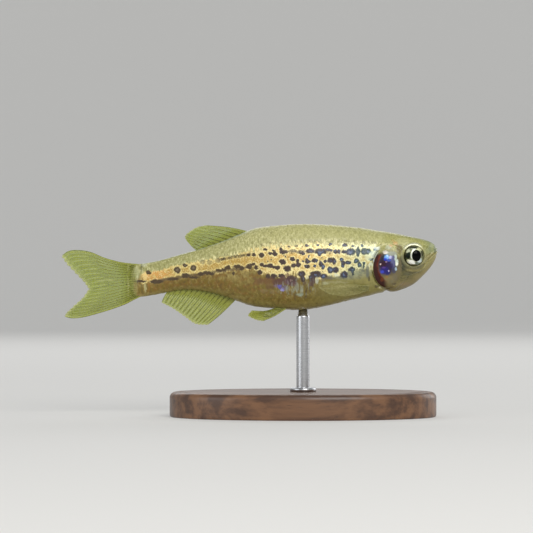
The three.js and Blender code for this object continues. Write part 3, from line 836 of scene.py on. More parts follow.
# %% Colour of the spots
def spot_colour(shade, place, column, distance):
    """Dark brown by the tail, plum at the middle, blue-black ahead with pale blue hearts."""
    blotchy = shade.noise(place, 0.33, 2, 0.5)
    colour = shade.mix(column.step(235, 285), paint(70, 54, 31), paint(60, 44, 40))
    hollow = distance.step(0.8, 0.2) * column.step(215, 205) * place.part(2).step(273, 271)
    colour = shade.mix(hollow * 0.6, colour, paint(132, 122, 98))
    colour = shade.mix(column.step(300, 330) * blotchy.step(0.35, 0.6), colour, paint(42, 54, 78))
    colour = shade.mix(column.step(346, 358), colour, paint(46, 70, 68))
    heart = distance.step(0.8, 0.3) * column.step(288, 315) * blotchy.step(0.42, 0.6)
    return shade.mix(heart * 0.7, colour, paint(112, 128, 160))


# %% Colours of the whole body
def body_colour(shade, place, height):
    """The colours behind the head, and the masks that the finish needs."""
    column, row = place.part(0), place.part(2)
    rough = shifted(shade, place, 0.3, 2.8)
    frayed = shifted(shade, rough, 0.95, 2.0)
    teeth = shade.noise(place * (1.0, 1.0, 0.22), 0.5, 2, 0.6) - 0.5
    ragged = shade.noise(place, 0.16, 3, 0.6) - 0.5
    back, speck = back_colour(shade, place, column, height)
    low = low_colour(shade, place, column, height, speck)

    distance = nearest(shade, frayed, ALL_SPOTS) + (speck - 0.5) * 0.7
    halo = distance.step(2.3, 1.35)
    edge_height = column.step(235, 275) * 0.06
    border = (height - edge_height + teeth * 0.1).step(0.61, 0.67)
    border = border.most((height + ragged * 0.16).step(0.5, 0.42))
    gold = gold_colour(shade, place, frayed, column, halo, border)

    hump = oval(shade, place, 242, 268, 20, 13).step(1.3, 0.4) * 0.08
    sag = oval(shade, place, 322, 274, 26, 10).step(1.3, 0.5) * -0.05
    upper = (height - edge_height + teeth * 0.2 + ragged * 0.05).step(0.71, 0.68)
    lower = (height + teeth * 0.1 + ragged * 0.16 - hump - sag).step(0.38, 0.42)
    in_gold = upper * lower * (column + teeth * 10.0).step(139, 143) * column.step(379, 374)
    colour = shade.mix((height + teeth * 0.1).step(0.52, 0.62), low, back)
    spark = bell_wire(height - edge_height - 0.725, 0.035) * teeth.step(0.0, 0.1) * column.step(170, 215)
    colour = shade.mix(spark * 0.7, colour, paint(236, 226, 166))
    edge_dark = bell_wire(height - edge_height - 0.72, 0.03) * teeth.step(-0.02, -0.12)
    edge_dark = edge_dark * column.step(200, 225)
    colour = shade.mix(edge_dark * 0.75, colour, paint(98, 88, 50))
    colour = shade.mix(in_gold, colour, gold)

    along_line = (row - 259.3 + (column - 222) * 0.19 + teeth * 4.0).size().step(2.0, 0.7)
    along_line = along_line * column.step(216, 222) * column.step(254, 248) * speck.step(0.36, 0.5)
    bridge = (row - 251.6 + teeth * 6.0).size().step(2.4, 0.5) * column.step(278, 284) * column.step(372, 366)
    chain_row = 281.4 - (column - 150).most(0.0) * 0.145
    link = (row - chain_row + teeth * 5.0).size().step(2.2, 0.5)
    link = link * column.step(150, 156) * column.step(252, 244)
    colour = shade.mix(along_line * 0.85, colour, paint(70, 56, 34))
    joined = (bridge * speck.step(0.38, 0.54)).most(link * speck.step(0.34, 0.48))
    colour = shade.mix(joined * 0.85, colour, paint(92, 74, 50))
    sprinkled = shade.cells(frayed, 0.2).step(0.22, 0.12) * in_gold * column.step(262, 285)
    colour = shade.mix(sprinkled * 0.7, colour, paint(84, 72, 58))

    spots = distance.step(1.6, 1.05)
    greyed = oval(shade, place, 205, 261.5, 20, 4.5).step(1.2, 0.7) * 0.45
    greyed = greyed.most(oval(shade, place, 295, 249.5, 9, 4).step(1.2, 0.7) * 0.4)
    spot = spot_colour(shade, place, column, distance)
    colour = shade.mix(spots * (1 - greyed), colour, spot)

    strewn = shifted(shade, frayed, 0.22, 4.5)
    # The belly's dabs include one painted glint in blue and blue-white.
    colour = dab(shade, strewn, colour, BELLY_DABS)
    slivers = shade.noise(place * (1.0, 1.0, 0.18), 0.55, 2, 0.6).step(0.54, 0.62)
    gut = oval(shade, strewn, 297, 287, 22, 12).step(1.2, 0.6) * (1 - in_gold * (1 - spots))
    colour = shade.mix(gut * slivers * 0.35, colour, paint(160, 168, 152))
    colour = dab(shade, frayed, colour, TAIL_DABS)
    shoulder = oval(shade, frayed, 374, 255, 6.5, 7).step(1.2, 0.6)
    # The shoulder's dabs end with a painted highlight just behind the gill cover.
    colour = dab(shade, frayed, colour, SHOULDER_DABS)
    fin_root = (column + teeth * 12.0).step(138, 130)
    colour = shade.mix(fin_root, colour, paint(*FIN_ROOT_PAINT))
    return colour, in_gold * (1 - spots), shoulder, speck


def bell_wire(value, width):
    """A soft bump of height 1 where the value is 0."""
    return value.size().step(width * 1.6, 0.0)


# %% [markdown]
# The head is olive, and its marks are laid on in the same way. The gill cover is thin: the red
# gills glow through its rear rim, and guanine crystals behind it flash blue and violet. These
# flashes, and the white along the silver arc at its front border, are painted highlights.

# %% Dabs of paint on the head
HEAD_DABS = (
    (402.8, 263, 4, 9.5, 0.9, (48, 50, 27)), (399.6, 249.5, 3.6, 5, 0.75, (98, 84, 52)),
    (408, 273.6, 4.4, 2, 0.65, (84, 84, 58)), (413.5, 269.6, 7, 2.2, 0.5, (150, 138, 86)),
    (414, 272.6, 7, 1.0, 0.6, (90, 84, 52)), (406.4, 268.4, 3.4, 1.1, 0.6, (88, 84, 50)),
    (418, 276, 5, 3, 0.35, (150, 136, 84)), (395.6, 243.2, 2.6, 1.9, 0.55, (206, 150, 84)),
    (390.8, 245.8, 2.4, 1.4, 0.5, (204, 150, 86)), (393.2, 240.6, 2, 1.2, 0.35, (204, 160, 96)),
    (397, 245.4, 1.6, 1.1, 0.6, (116, 88, 46)), (403, 241, 7, 3.4, 0.25, (208, 206, 164)),
    (388, 247.5, 3.2, 2.2, 0.55, (190, 196, 176)), (430.5, 248, 1.6, 4, 0.4, (112, 118, 92)),
    (432.4, 245.4, 2.2, 2.4, 0.35, (184, 190, 158)), (435.9, 249, 1.6, 4.6, 0.6, (96, 106, 88)),
    (428.6, 251, 3.4, 4.2, 0.3, (120, 128, 94)), (424.5, 262, 3.4, 6, 0.35, (168, 160, 108)),
    (405.5, 247.8, 1, 3.4, 0.5, (92, 98, 66)), (405.6, 284.5, 7, 2.4, 0.4, (140, 118, 88)),
)
# The pale blue, lavender, pink-white and white dabs on the gill cover are painted highlights: flashes off its
# guanine.
GILL_DABS = (
    (389, 268, 15, 18.5, 0.9, (108, 97, 64)), (386.8, 263.2, 10.6, 12, 0.95, (44, 34, 56)),
    (391.5, 253.6, 6, 2.6, 0.85, (150, 156, 140)), (385.4, 252.4, 2.8, 1.8, 0.8, (214, 208, 196)),
    (385, 256.4, 2.2, 2, 0.7, (50, 72, 84)), (386.8, 257, 2.7, 2.4, 0.95, (120, 172, 240)),
    (387.2, 255.8, 1.2, 1.1, 0.8, (190, 222, 250)), (390.6, 257.4, 2.2, 1.9, 0.9, (196, 196, 240)),
    (385.4, 259.3, 1.8, 1.5, 0.9, (40, 64, 204)), (389, 260.4, 2.4, 1.3, 0.8, (58, 88, 196)),
    (383.8, 264.6, 4.4, 3.8, 0.85, (50, 18, 40)), (388.6, 264.6, 2.8, 3.4, 0.7, (44, 28, 80)),
    (386.2, 261.9, 1.1, 1, 0.8, (150, 124, 160)), (380.4, 264.2, 0.9, 0.8, 0.9, (232, 204, 204)),
    (384.4, 270.4, 5.0, 4.2, 0.9, (42, 36, 118)), (382.2, 271.8, 1.9, 1.6, 0.9, (58, 72, 190)),
    (383.8, 267.6, 1.7, 1.1, 0.6, (104, 70, 146)), (388.2, 272.6, 2.4, 2.8, 0.85, (34, 38, 108)),
    (388.5, 271, 0.9, 0.9, 0.9, (196, 186, 222)), (393.2, 262, 2.6, 6.8, 0.8, (96, 100, 146)),
    (391.4, 266, 2.0, 2.8, 0.8, (46, 34, 82)), (394, 270, 2.4, 3.6, 0.8, (58, 58, 88)),
    (388.6, 279.6, 6.6, 4.4, 0.9, (126, 114, 76)), (386.6, 277.0, 1.8, 1.4, 0.6, (150, 112, 60)),
    (391.4, 281.4, 2.2, 1.8, 0.5, (110, 108, 80)), (395.2, 277.5, 2.6, 3.4, 0.6, (112, 104, 80)),
    (394.6, 283.8, 3, 0.9, 0.8, (74, 64, 44)), (395, 286, 1.3, 0.8, 0.85, (210, 204, 170)),
)
# The silver arc along the gill cover's front border, whitened by a painted highlight.
GILL_ARC_DABS = (
    (395.6, 257.5, 1.2, 3.4, 0.85, (196, 212, 200)), (396.8, 262.6, 1.5, 3.8, 0.95, (216, 230, 212)),
    (396.9, 264.2, 1, 1.7, 1, (252, 254, 236)), (395.8, 268.8, 1.1, 1.8, 0.85, (172, 198, 216)),
)
CREST_DABS = (
    (379.4, 258, 1.3, 3.4, 0.6, (120, 48, 18)), (376.4, 270, 1.4, 5, 0.4, (40, 16, 12)),
    (381.8, 279.6, 1.8, 2.2, 0.5, (118, 62, 20)), (377.4, 264.6, 1.1, 2.4, 0.5, (102, 34, 15)),
)


# %% Colours of the head
def gill_oval(shade, place):
    """The distance from the gill cover's middle: 1 on its rim."""
    column, row = pixel_of(*GILL_CENTRE)
    return oval(shade, place, column, row, GILL_HALF[0] / PIXEL, GILL_HALF[1] / PIXEL)


def head_colour(shade, place, height, speck):
    """The colours of the head, and the masks of its bright marks."""
    column, row = place.part(0), place.part(2)
    frayed = shifted(shade, shifted(shade, place, 0.4, 1.5), 1.1, 1.4)
    grain = shade.noise(place, 0.8, 3, 0.65)
    crown = shade.mix(grain.step(0.3, 0.74), paint(136, 135, 70), paint(190, 187, 118))
    crown = shade.mix(column.step(420, 434), crown, paint(142, 148, 98))
    cheek = shade.mix(grain.step(0.28, 0.76), paint(70, 67, 34), paint(124, 116, 66))
    cheek = shade.mix(column.step(414, 430), cheek, paint(146, 138, 84))
    face = shade.mix(height.step(0.5, 0.64), cheek, crown)
    face = shade.mix(height.step(0.24, 0.08) * 0.7, face, paint(136, 122, 74))
    pepper = shade.noise(place, 1.5, 2, 0.7).step(0.6, 0.7) * height.step(0.45, 0.6)
    face = shade.mix(pepper * 0.55, face, paint(92, 94, 62))
    ridge_shade = height.step(0.93, 1.0) * column.step(395, 410)
    face = shade.mix(ridge_shade * 0.5, face, paint(104, 112, 66))
    face = dab(shade, frayed, face, HEAD_DABS)

    from_eye = oval(shade, frayed, *pixel_of(*EYE_CENTRE), 10, 10)
    lid = (from_eye - 1.16).size().step(0.24, 0.08)
    above = row.step(251, 246.5) * column.step(424, 418)
    under = lid * row.step(262, 266)
    face = shade.mix(lid * 0.4, face, paint(154, 152, 110))
    face = shade.mix(under * 0.5, face, paint(96, 92, 60))
    # A pale cream arc on the rim above the eye, a painted highlight.
    top_lid = lid * above
    face = shade.mix(top_lid * (0.6 + grain.step(0.4, 0.6) * 0.35), face, paint(236, 236, 204))

    rim = gill_oval(shade, place)
    in_gill = rim.step(1.02, 0.97)
    # The cover's dabs, with painted highlights as pale blue, lavender and white flashes.
    gill = dab(shade, frayed, face, GILL_DABS)
    inner = oval(shade, frayed, 395.0, 265.6, 16.6, 17.0)
    crescent = inner.step(0.96, 1.06) * (column - (row - 266) * 0.12).step(387, 381) * row.step(251, 256)
    red = shade.mix(inner.step(1.0, 1.2), paint(88, 25, 11), paint(50, 14, 7))
    gill = shade.mix(crescent, gill, dab(shade, frayed, red, CREST_DABS))
    # The silver front arc, whitened by a painted highlight.
    gill = dab(shade, frayed, gill, GILL_ARC_DABS)
    face = shade.mix(in_gill, face, gill)
    seam = (rim - 1.03).size().step(0.05, 0.0) * column.step(398, 388) * row.step(252, 258)
    face = shade.mix(seam * 0.6, face, paint(58, 42, 30))
    flash = oval(shade, frayed, 387.5, 262.5, 9, 12.5).step(1.1, 0.7) * in_gill * (1 - crescent)
    arc = oval(shade, frayed, 396.4, 262, 2.2, 7.5).step(1.2, 0.7) * in_gill
    return face, flash, arc.most(top_lid)


# %% [markdown]
# One material covers the flesh: skin, scales, gill covers and barbels, so that the marks run on
# from one to the next. Each could have its own, but then their edges would have to be matched.
# On the far side slow noise moves the marks about, because no fish is the same on both sides.

# %% The flesh's material
LEFT_DRIFT = (18.0, 0.0, 5.0)


def flesh_material(name, **finish):
    """The skin's material, which the scales, the gill covers and the barbels share."""
    shade = Shade(name, **finish)
    place = photo_place(shade)
    height = shade.value("height")
    left_side = place.part(1).step(-0.5, 0.5) * place.part(0).step(372, 345) * place.part(0).step(148, 180)
    moved = place + shade.centred_noise(place, 0.05, 1) * LEFT_DRIFT * left_side
    body, gilt, shoulder, speck = body_colour(shade, moved, height)
    face, flash, silver = head_colour(shade, place, height, speck)
    column = place.part(0)
    on_head = column.step(379, 389).most(gill_oval(shade, place).step(1.02, 0.98))
    colour = shade.mix(on_head, body, face)
    scale_edge = shade.value("rim")
    colour = shade.mix(scale_edge * (1 - on_head) * 0.18, colour, paint(96, 86, 52))
    bright = (gilt * 0.22).most(shoulder * 0.4) * (1 - on_head)
    bright = bright.most(flash * 0.3).most(silver * on_head * 0.5)
    pores = shade.noise(place, 2.2, 2, 0.6)
    shade.set(
        Base_Color=colour,
        Metallic=bright,
        Roughness=0.44 - bright * 0.2 + (speck - 0.5) * 0.2,
        Normal=shade.bump(pores * 0.5 + speck * 0.5, 0.00002, 0.5),
    )
    return shade.material


def with_finish(material, name, **finish):
    """A copy of a material with other constants on its surface shader."""
    copy = material.copy()
    copy.name = name
    for socket, value in finish.items():
        copy.node_tree.nodes["Principled BSDF"].inputs[socket.replace("_", " ")].default_value = value
    return copy


skin_material = flesh_material("skin_of_danio", Specular_IOR_Level=0.4, Coat_Weight=0.25, Coat_Roughness=0.16)
scale_material = with_finish(skin_material, "scales_of_danio", Coat_Weight=0.2)
gill_material = with_finish(
    skin_material, "gill_cover_of_danio", Specular_IOR_Level=0.2, Coat_Weight=0.2, Coat_Roughness=0.1
)
skin.data.materials.append(skin_material)

# %% [markdown]
# The scales. A danio has about thirty scales along its side and some sixteen rows round each
# half, each tucked under the one ahead like a roof tile. A bump in the material could suggest
# them, but real scales have edges that catch the light from every side. Geometry Nodes lay
# them out flat, as a sheet of instances with a little jitter, and this script then wraps the
# sheet round the body with the skin's own formula, so that every scale bends with the surface.

# %% One scale, as a thin closed shield
SCALE_LENGTH = 1.5
SCALE_WIDTH = 1.14
SCALE_THICKNESS = 0.014
SCALE_ROOT_LIFT = -0.014
SCALE_TIP_LIFT = 0.036


def scale_template(rows=7, across=6):
    """A thin shield with a blunt root ahead and a round rear edge, a little hollow underneath."""
    top, rim = [], []
    for back in (1 - np.cos(np.linspace(0, math.pi, rows + 1))) / 2:
        reach = 2 * back - 1
        power = 2.3 if reach > 0 else 3.4
        width = SCALE_WIDTH / 2 * max((1 - abs(reach) ** power) ** (1 / power), 0.12)
        lift = SCALE_ROOT_LIFT + (SCALE_TIP_LIFT - SCALE_ROOT_LIFT) * back**1.3
        for share in np.linspace(-1, 1, across + 1):
            x = SCALE_LENGTH * (0.5 - back)
            top.append((x, share * width, lift - 0.02 * share**2))
            rim.append(max(0.0, reach) * (0.35 + 0.65 * max(share**2, back**3)))
    top = np.array(top)
    under = top - np.array([0, 0, SCALE_THICKNESS])
    points = np.concatenate([top, under])
    wide = across + 1
    count = len(top)
    faces = []
    for row in range(rows):
        for column in range(across):
            a = row * wide + column
            faces.append((a, a + wide, a + wide + 1, a + 1))
            faces.append((a + count, a + 1 + count, a + wide + 1 + count, a + wide + count))
    border = list(range(wide)) + [row * wide + across for row in range(1, rows + 1)]
    border += [rows * wide + column for column in range(across - 1, -1, -1)]
    border += [row * wide for row in range(rows - 1, 0, -1)]
    for a, b in zip(border, border[1:] + border[:1]):
        faces.append((a, b, b + count, a + count))
    piece = mesh_object("one_scale", points, faces)
    face_outwards(piece)
    add_values(piece, "rim", rim + rim)
    return piece


one_scale = scale_template()
print("faces of one scale:", len(one_scale.data.polygons))


# %% Trees of Geometry Nodes
class Tree(Maker):
    """Builds a Geometry Nodes tree whose sizes are named inputs."""

    def __init__(self, name, inputs):
        self.tree = bpy.data.node_groups.new(name, "GeometryNodeTree")
        self.tree.interface.new_socket("Geometry", in_out="OUTPUT", socket_type="NodeSocketGeometry")
        self.inlet = self.tree.nodes.new("NodeGroupInput")
        self.outlet = self.tree.nodes.new("NodeGroupOutput")
        self.identifiers = {}
        for label, kind in inputs.items():
            socket = self.tree.interface.new_socket(label, in_out="INPUT", socket_type="NodeSocket" + kind)
            self.identifiers[label] = socket.identifier

    def input(self, label):
        return Wire(self, self.inlet.outputs[label])

    def finish(self, geometry, material):
        """Realizes the instances, sets the material and ends the tree."""
        real = self.node("GeometryNodeRealizeInstances", {}, {0: geometry})
        done = self.node("GeometryNodeSetMaterial", {}, {"Geometry": real, "Material": material})
        self.tree.links.new(done.socket, self.outlet.inputs[0])

    def apply(self, piece, values):
        """Runs the tree on a piece and gives its result as a plain mesh."""
        modifier = piece.modifiers.new(self.tree.name, "NODES")
        modifier.node_group = self.tree
        for label, value in values.items():
            modifier[self.identifiers[label]] = value
        return plain_mesh(piece, modifier)


def plain_mesh(piece, modifier):
    """What a modifier makes of a piece, as a mesh of its own. The modifier is then removed."""
    graph = bpy.context.evaluated_depsgraph_get()
    result = bpy.data.meshes.new_from_object(piece.evaluated_get(graph))
    piece.modifiers.remove(modifier)
    return result


# %% A sheet of scales by Geometry Nodes
def scale_sheet_tree(columns, rows):
    """Rows of scales, every second row moved along by half a scale, each turned a little."""
    tree = Tree("scale_sheet", {
        "Column pitch": "Float", "Row pitch": "Float", "Jitter": "Float", "Seed": "Int",
        "Scale": "Object", "Material": "Material",
    })
    index = tree.node("GeometryNodeInputIndex", {}, {})
    row = index % float(rows)
    column = tree.node("ShaderNodeMath", {"operation": "FLOOR"}, {0: index / float(rows)})
    x = (row % 2.0 * 0.5 + column) * tree.input("Column pitch")
    flat = tree.node("ShaderNodeCombineXYZ", {}, {0: x, 1: row * tree.input("Row pitch")})
    spread = tree.input("Jitter") * (1.0, 1.0, 0.0)
    jitter = tree.node("FunctionNodeRandomValue", {"data_type": "FLOAT_VECTOR"},
                       {0: spread * -1.0, 1: spread, "Seed": tree.input("Seed")})
    at = flat + jitter
    dots = tree.node("GeometryNodePoints", {}, {"Count": columns * rows, "Position": at})
    kept = tree.node("GeometryNodeStoreNamedAttribute", {"data_type": "FLOAT_VECTOR"},
                     {"Geometry": dots, "Name": "root", "Value": at})
    turn = tree.node("FunctionNodeRandomValue", {"data_type": "FLOAT"},
                     {"Min": -0.05, "Max": 0.05, "Seed": tree.input("Seed")}, 1)
    turned = tree.node("ShaderNodeCombineXYZ", {}, {2: turn})
    shield = tree.node("GeometryNodeObjectInfo", {}, {"Object": tree.input("Scale")}, "Geometry")
    coat = tree.node("GeometryNodeInstanceOnPoints", {},
                     {"Points": kept, "Instance": shield, "Rotation": turned})
    tree.finish(coat, tree.input("Material"))
    return tree


COLUMN_PITCH = 1.0
ROW_PITCH = 0.8
SCALE_JITTER = 0.03
COAT_FRONT = 16.2
COAT_REAR = -13.0
SHEET_ROWS = 23
SHEET_COLUMNS = 32
sheet_tree = scale_sheet_tree(SHEET_COLUMNS, SHEET_ROWS)
carrier = bpy.data.objects.new("sheet_carrier", bpy.data.meshes.new("sheet_carrier"))
bpy.context.scene.collection.objects.link(carrier)


def flat_sheet(seed):
    """The flat sheet of scales: its mesh, its points in millimetres and each point's root."""
    mesh = sheet_tree.apply(carrier, {
        "Column pitch": COLUMN_PITCH * MM, "Row pitch": ROW_PITCH * MM, "Jitter": SCALE_JITTER * MM,
        "Seed": seed, "Scale": one_scale, "Material": scale_material,
    })
    count = len(mesh.vertices)
    points, roots = np.empty(count * 3), np.empty(count * 3)
    mesh.vertices.foreach_get("co", points)
    mesh.attributes["root"].data.foreach_get("vector", roots)
    return mesh, points.reshape(-1, 3) / MM, roots.reshape(-1, 3) / MM


# %% [markdown]
# Wrapping: along the sheet is X on the body. Across the sheet is the distance round the body
# from a line half way up the flank. Past the back's or the belly's middle line a point goes on
# down the other side, so the coat closes over the back without a gap. A shrinkwrap modifier
# would press the scales flat on the skin. Here each keeps its own lift and its overlap.

# %% Rings to wrap on
WRAP_COLUMNS = 181
wrap_places = place_of(np.linspace(18.0, STATIONS["x"][-1], 320))
wrap_half, wrap_girth = half_rings(wrap_places, -COAT_DEPTH, WRAP_COLUMNS)
wrap_x = along("x", wrap_places)
wrap_whole = whole_rings(wrap_half)
wrap_normals = grid_normals(wrap_whole)[:, :WRAP_COLUMNS]
FLANK_HEIGHT = 0.52


def flank_share(ring):
    """The share of the way down from the back where the ring passes the flank's line."""
    z = wrap_half[ring, :, 2]
    level = z[-1] + FLANK_HEIGHT * (z[0] - z[-1])
    return np.interp(-level, -z, np.linspace(0, 1, WRAP_COLUMNS))


wrap_flank = np.array([flank_share(ring) for ring in range(len(wrap_x))])


def on_rings(table, ring, share):
    """Reads a table of rings between its rings and columns."""
    column = share * (WRAP_COLUMNS - 1)
    r, c = np.floor(ring).astype(int), np.floor(column).astype(int)
    r, c = r.clip(0, len(table) - 2), c.clip(0, WRAP_COLUMNS - 2)
    fr, fc = (ring - r)[:, None], (column - c)[:, None]
    near = table[r, c] * (1 - fc) + table[r, c + 1] * fc
    far = table[r + 1, c] * (1 - fc) + table[r + 1, c + 1] * fc
    return near * (1 - fr) + far * fr


# %% Wrap a point round the body
def wrap(x, up, out, side):
    """Points on the body from flat places. side is 1 on the left and -1 on the right."""
    ring = np.interp(-x, -wrap_x, np.arange(len(wrap_x)))
    girth = np.interp(-x, -wrap_x, wrap_girth)
    share = np.interp(-x, -wrap_x, wrap_flank) - up / girth
    over = (share < 0) | (share > 1)
    folded = np.where(share < 0, -share, np.where(share > 1, 2 - share, share))
    points = on_rings(wrap_half, ring, folded) + on_rings(wrap_normals, ring, folded) * out[:, None]
    points[:, 1] *= np.where(over, -side, side)
    points[:, 0] += x - on_rings(wrap_half, ring, folded)[:, 0]
    return points, share


# %% The coat of scales on each side
def coat(name, side, seed):
    """One side's coat of scales."""
    mesh, flat, roots = flat_sheet(seed)
    middle = (SHEET_ROWS - 1) / 2 * ROW_PITCH
    x = flat[:, 0] - SCALE_LENGTH / 2 + COAT_REAR
    root_x = roots[:, 0] + COAT_REAR - SCALE_LENGTH / 2
    up, root_up = flat[:, 1] - middle, roots[:, 1] - middle
    girth = np.interp(-root_x, -wrap_x, wrap_girth)
    flank_at = np.interp(-root_x, -wrap_x, wrap_flank)
    root_share = flank_at - root_up / girth
    inside = (root_share > -0.004) & (root_share < 1.004)
    root_z = wrap(root_x, root_up, np.zeros_like(root_x), side)[0][:, 2]
    clear_x, clear_z = GILL_HALF[0] + 0.35, GILL_HALF[1] + 0.3
    gill = np.hypot((root_x - GILL_CENTRE[0]) / clear_x, (root_z - GILL_CENTRE[1]) / clear_z)
    nape = 16.1 - 0.9 * smooth_step(root_z, 21.0, 18.5)
    inside &= (root_x < nape) & (gill > 1) & (root_x > COAT_REAR + 0.35)
    size = np.interp(-root_x, (-16, -14, 9, 12.5), (0.8, 1.0, 0.9, 0.72))
    shrink = np.interp(-root_x, (-16, 3, 12.5), (1.0, 1.0, 0.8))
    x = root_x + (x - root_x) * size
    up = root_up + (up - root_up) * size
    points, _ = wrap(x, up, flat[:, 2] * shrink, side)
    local = np.stack([(x - root_x), (up - root_up)], 1)
    unwrap = np.stack([
        MAP_EDGE + (COAT_FRONT - root_x) / (COAT_FRONT - COAT_REAR + 1) * (1 - 2 * MAP_EDGE),
        MAP_EDGE + root_share.clip(0, 1) * (1 - 2 * MAP_EDGE),
    ], 1)
    unwrap += local * (-0.012, -0.012) / SCALE_LENGTH
    mesh.vertices.foreach_set("co", (points * MM).ravel())
    piece = bpy.data.objects.new(name, mesh)
    mesh.name = name
    bpy.context.scene.collection.objects.link(piece)
    add_values(piece, "height", heights(np.column_stack([points[:, 0].clip(-13.3, 22), points[:, 1:]])))
    corners = np.empty(len(mesh.loops), int)
    mesh.loops.foreach_get("vertex_index", corners)
    add_map(piece, unwrap[corners])
    shape = bmesh.new()
    shape.from_mesh(mesh)
    shape.verts.ensure_lookup_table()
    bmesh.ops.delete(shape, geom=[shape.verts[i] for i in np.flatnonzero(~inside)], context="VERTS")
    shape.to_mesh(mesh)
    shape.free()
    mesh.attributes.remove(mesh.attributes["root"])
    mesh.shade_smooth()
    mesh.set_sharp_from_angle(angle=math.radians(40))
    face_outwards(piece)
    print(name, "scales:", len(mesh.polygons) // len(one_scale.data.polygons))
    return piece


scales_right = coat("scales_right", -1, 11)
scales_left = coat("scales_left", 1, 12)
bpy.data.objects.remove(carrier)
bpy.data.objects.remove(one_scale)

# %% [markdown]
# The gill cover is a thin plate of bone under skin, hinged at the front and free along its
# rear edge. It could be a crease in the skin, but a crease has no edge to lift. So it is a
# plate of its own that rises out of the cheek and stands clear of the shoulder behind, and
# its edge throws a real shadow.

# %% Gill covers
GILL_RINGS = 34
GILL_SPOKES = 96
GILL_PLATE = 0.09


def gill_cover(name, side):
    """An oval plate that follows the head, outer face and inner face joined at the rim."""
    rings = np.linspace(0, 1, GILL_RINGS)[1:]
    spokes = np.linspace(0, 2 * math.pi, GILL_SPOKES, endpoint=False)
    ring, spoke = np.meshgrid(rings, spokes, indexing="ij")
    x = GILL_CENTRE[0] + GILL_HALF[0] * ring * np.cos(spoke)
    z = GILL_CENTRE[1] + GILL_HALF[1] * ring * np.sin(spoke)
    to_rear = smooth_step(-np.cos(spoke) - 0.2 * np.sin(spoke), -0.55, 0.25)
    outward = ring**1.6
    lift = 0.015 + outward * (0.085 * to_rear - 0.1 * (1 - to_rear))
    lift -= 0.035 * smooth_step(ring, 0.95, 1.0) * to_rear
    lift += 0.01 * np.sin(ring * 30) * outward * to_rear
    lift -= 0.03 * bell(line_distance(x, z, seen(380, 279), seen(397, 276)), 0.08)
    y = flank(x, z) + lift
    outer = np.stack([x, y, z], axis=2)
    inner = np.stack([x, y - GILL_PLATE - 0.06 * (1 - ring), z], axis=2)[::-1]
    grid = np.concatenate([outer, inner])
    count = grid.shape[0]
    centre_x, centre_z = GILL_CENTRE
    centre_y = float(flank(np.array([centre_x]), np.array([centre_z]))[0])
    ends = np.array([[centre_x, centre_y + 0.015, centre_z], [centre_x, centre_y - 0.135, centre_z]])
    points = np.concatenate([grid.reshape(-1, 3), ends])
    points[:, 1] *= side
    piece = mesh_object(name, points, close_ends(ring_faces(count, GILL_SPOKES), count, GILL_SPOKES))
    face_outwards(piece)
    add_values(piece, "height", heights(points))
    piece.data.materials.append(gill_material)
    return piece


gill_right = gill_cover("gill_plate_right", -1)
gill_left = gill_cover("gill_plate_left", 1)

# %% [markdown]
# A danio's eye is a flattened ball. The iris is silver with dark patches before and behind the
# pupil, and the lens stands out of the pupil as a black bead. A plain ball would look like a
# toy's, so the lens is raised in the mesh. Each point keeps its place in the eye's own plane,
# in millimetres, so the iris can be painted on both eyes alike.

# %% Eyeballs
PUPIL = (0.29, 0.03)
PUPIL_HALF = (0.55, 0.68)
LENS_BULGE = 0.07
LENS_BACK = 0.16


def eye(name, side):
    """A rounded disc of the socket's shape with the lens raised on its face."""
    rows, spokes = 90, 112
    angle = np.linspace(0, math.pi, rows + 1)[1:-1]
    turn = np.linspace(0, 2 * math.pi, spokes, endpoint=False)
    power = 2 / EYE_SQUARE
    radius = EYE_RADIUS * np.sin(angle) ** power
    depth = EYE_DEPTH * np.sign(np.cos(angle)) * np.abs(np.cos(angle)) ** power
    radius, turn = np.meshgrid(radius, turn, indexing="ij")
    forward, up = radius * np.cos(turn), radius * np.sin(turn)
    out = np.repeat(depth[:, None], spokes, axis=1)
    lens_forward = PUPIL[0] - LENS_BACK
    from_pupil = np.hypot((forward - lens_forward) / PUPIL_HALF[0], (up - PUPIL[1]) / PUPIL_HALF[1])
    front = out > 0
    lens = (1 - from_pupil**2).clip(0) * LENS_BULGE
    groove = 0.025 * bell(from_pupil - 1.06, 0.08)
    rounding = 0.07 * (1 - (radius / EYE_RADIUS) ** 2)
    out = out + np.where(front, lens - groove + rounding - 0.05, 0)
    grid = np.stack([forward, up, out], axis=2).reshape(-1, 3)
    centre = math.hypot(lens_forward / PUPIL_HALF[0], PUPIL[1] / PUPIL_HALF[1])
    pole = EYE_DEPTH + LENS_BULGE * (1 - centre**2) + 0.02
    local = np.concatenate([grid, [[0, 0, pole], [0, 0, -EYE_DEPTH]]])
    cos_turn, sin_turn = math.cos(EYE_TURN), math.sin(EYE_TURN)
    x = EYE_CENTRE[0] + local[:, 0] * cos_turn + local[:, 2] * sin_turn
    y = side * (EYE_OUT + local[:, 2] * cos_turn - local[:, 0] * sin_turn)
    z = EYE_CENTRE[1] + local[:, 1]
    faces = close_ends(ring_faces(rows - 1, spokes), rows - 1, spokes)
    piece = mesh_object(name, np.stack([x, y, z], 1), faces)
    face_outwards(piece)
    add_values(piece, "iris_forward", x - EYE_CENTRE[0])
    add_values(piece, "iris_up", z - EYE_CENTRE[1])
    return piece


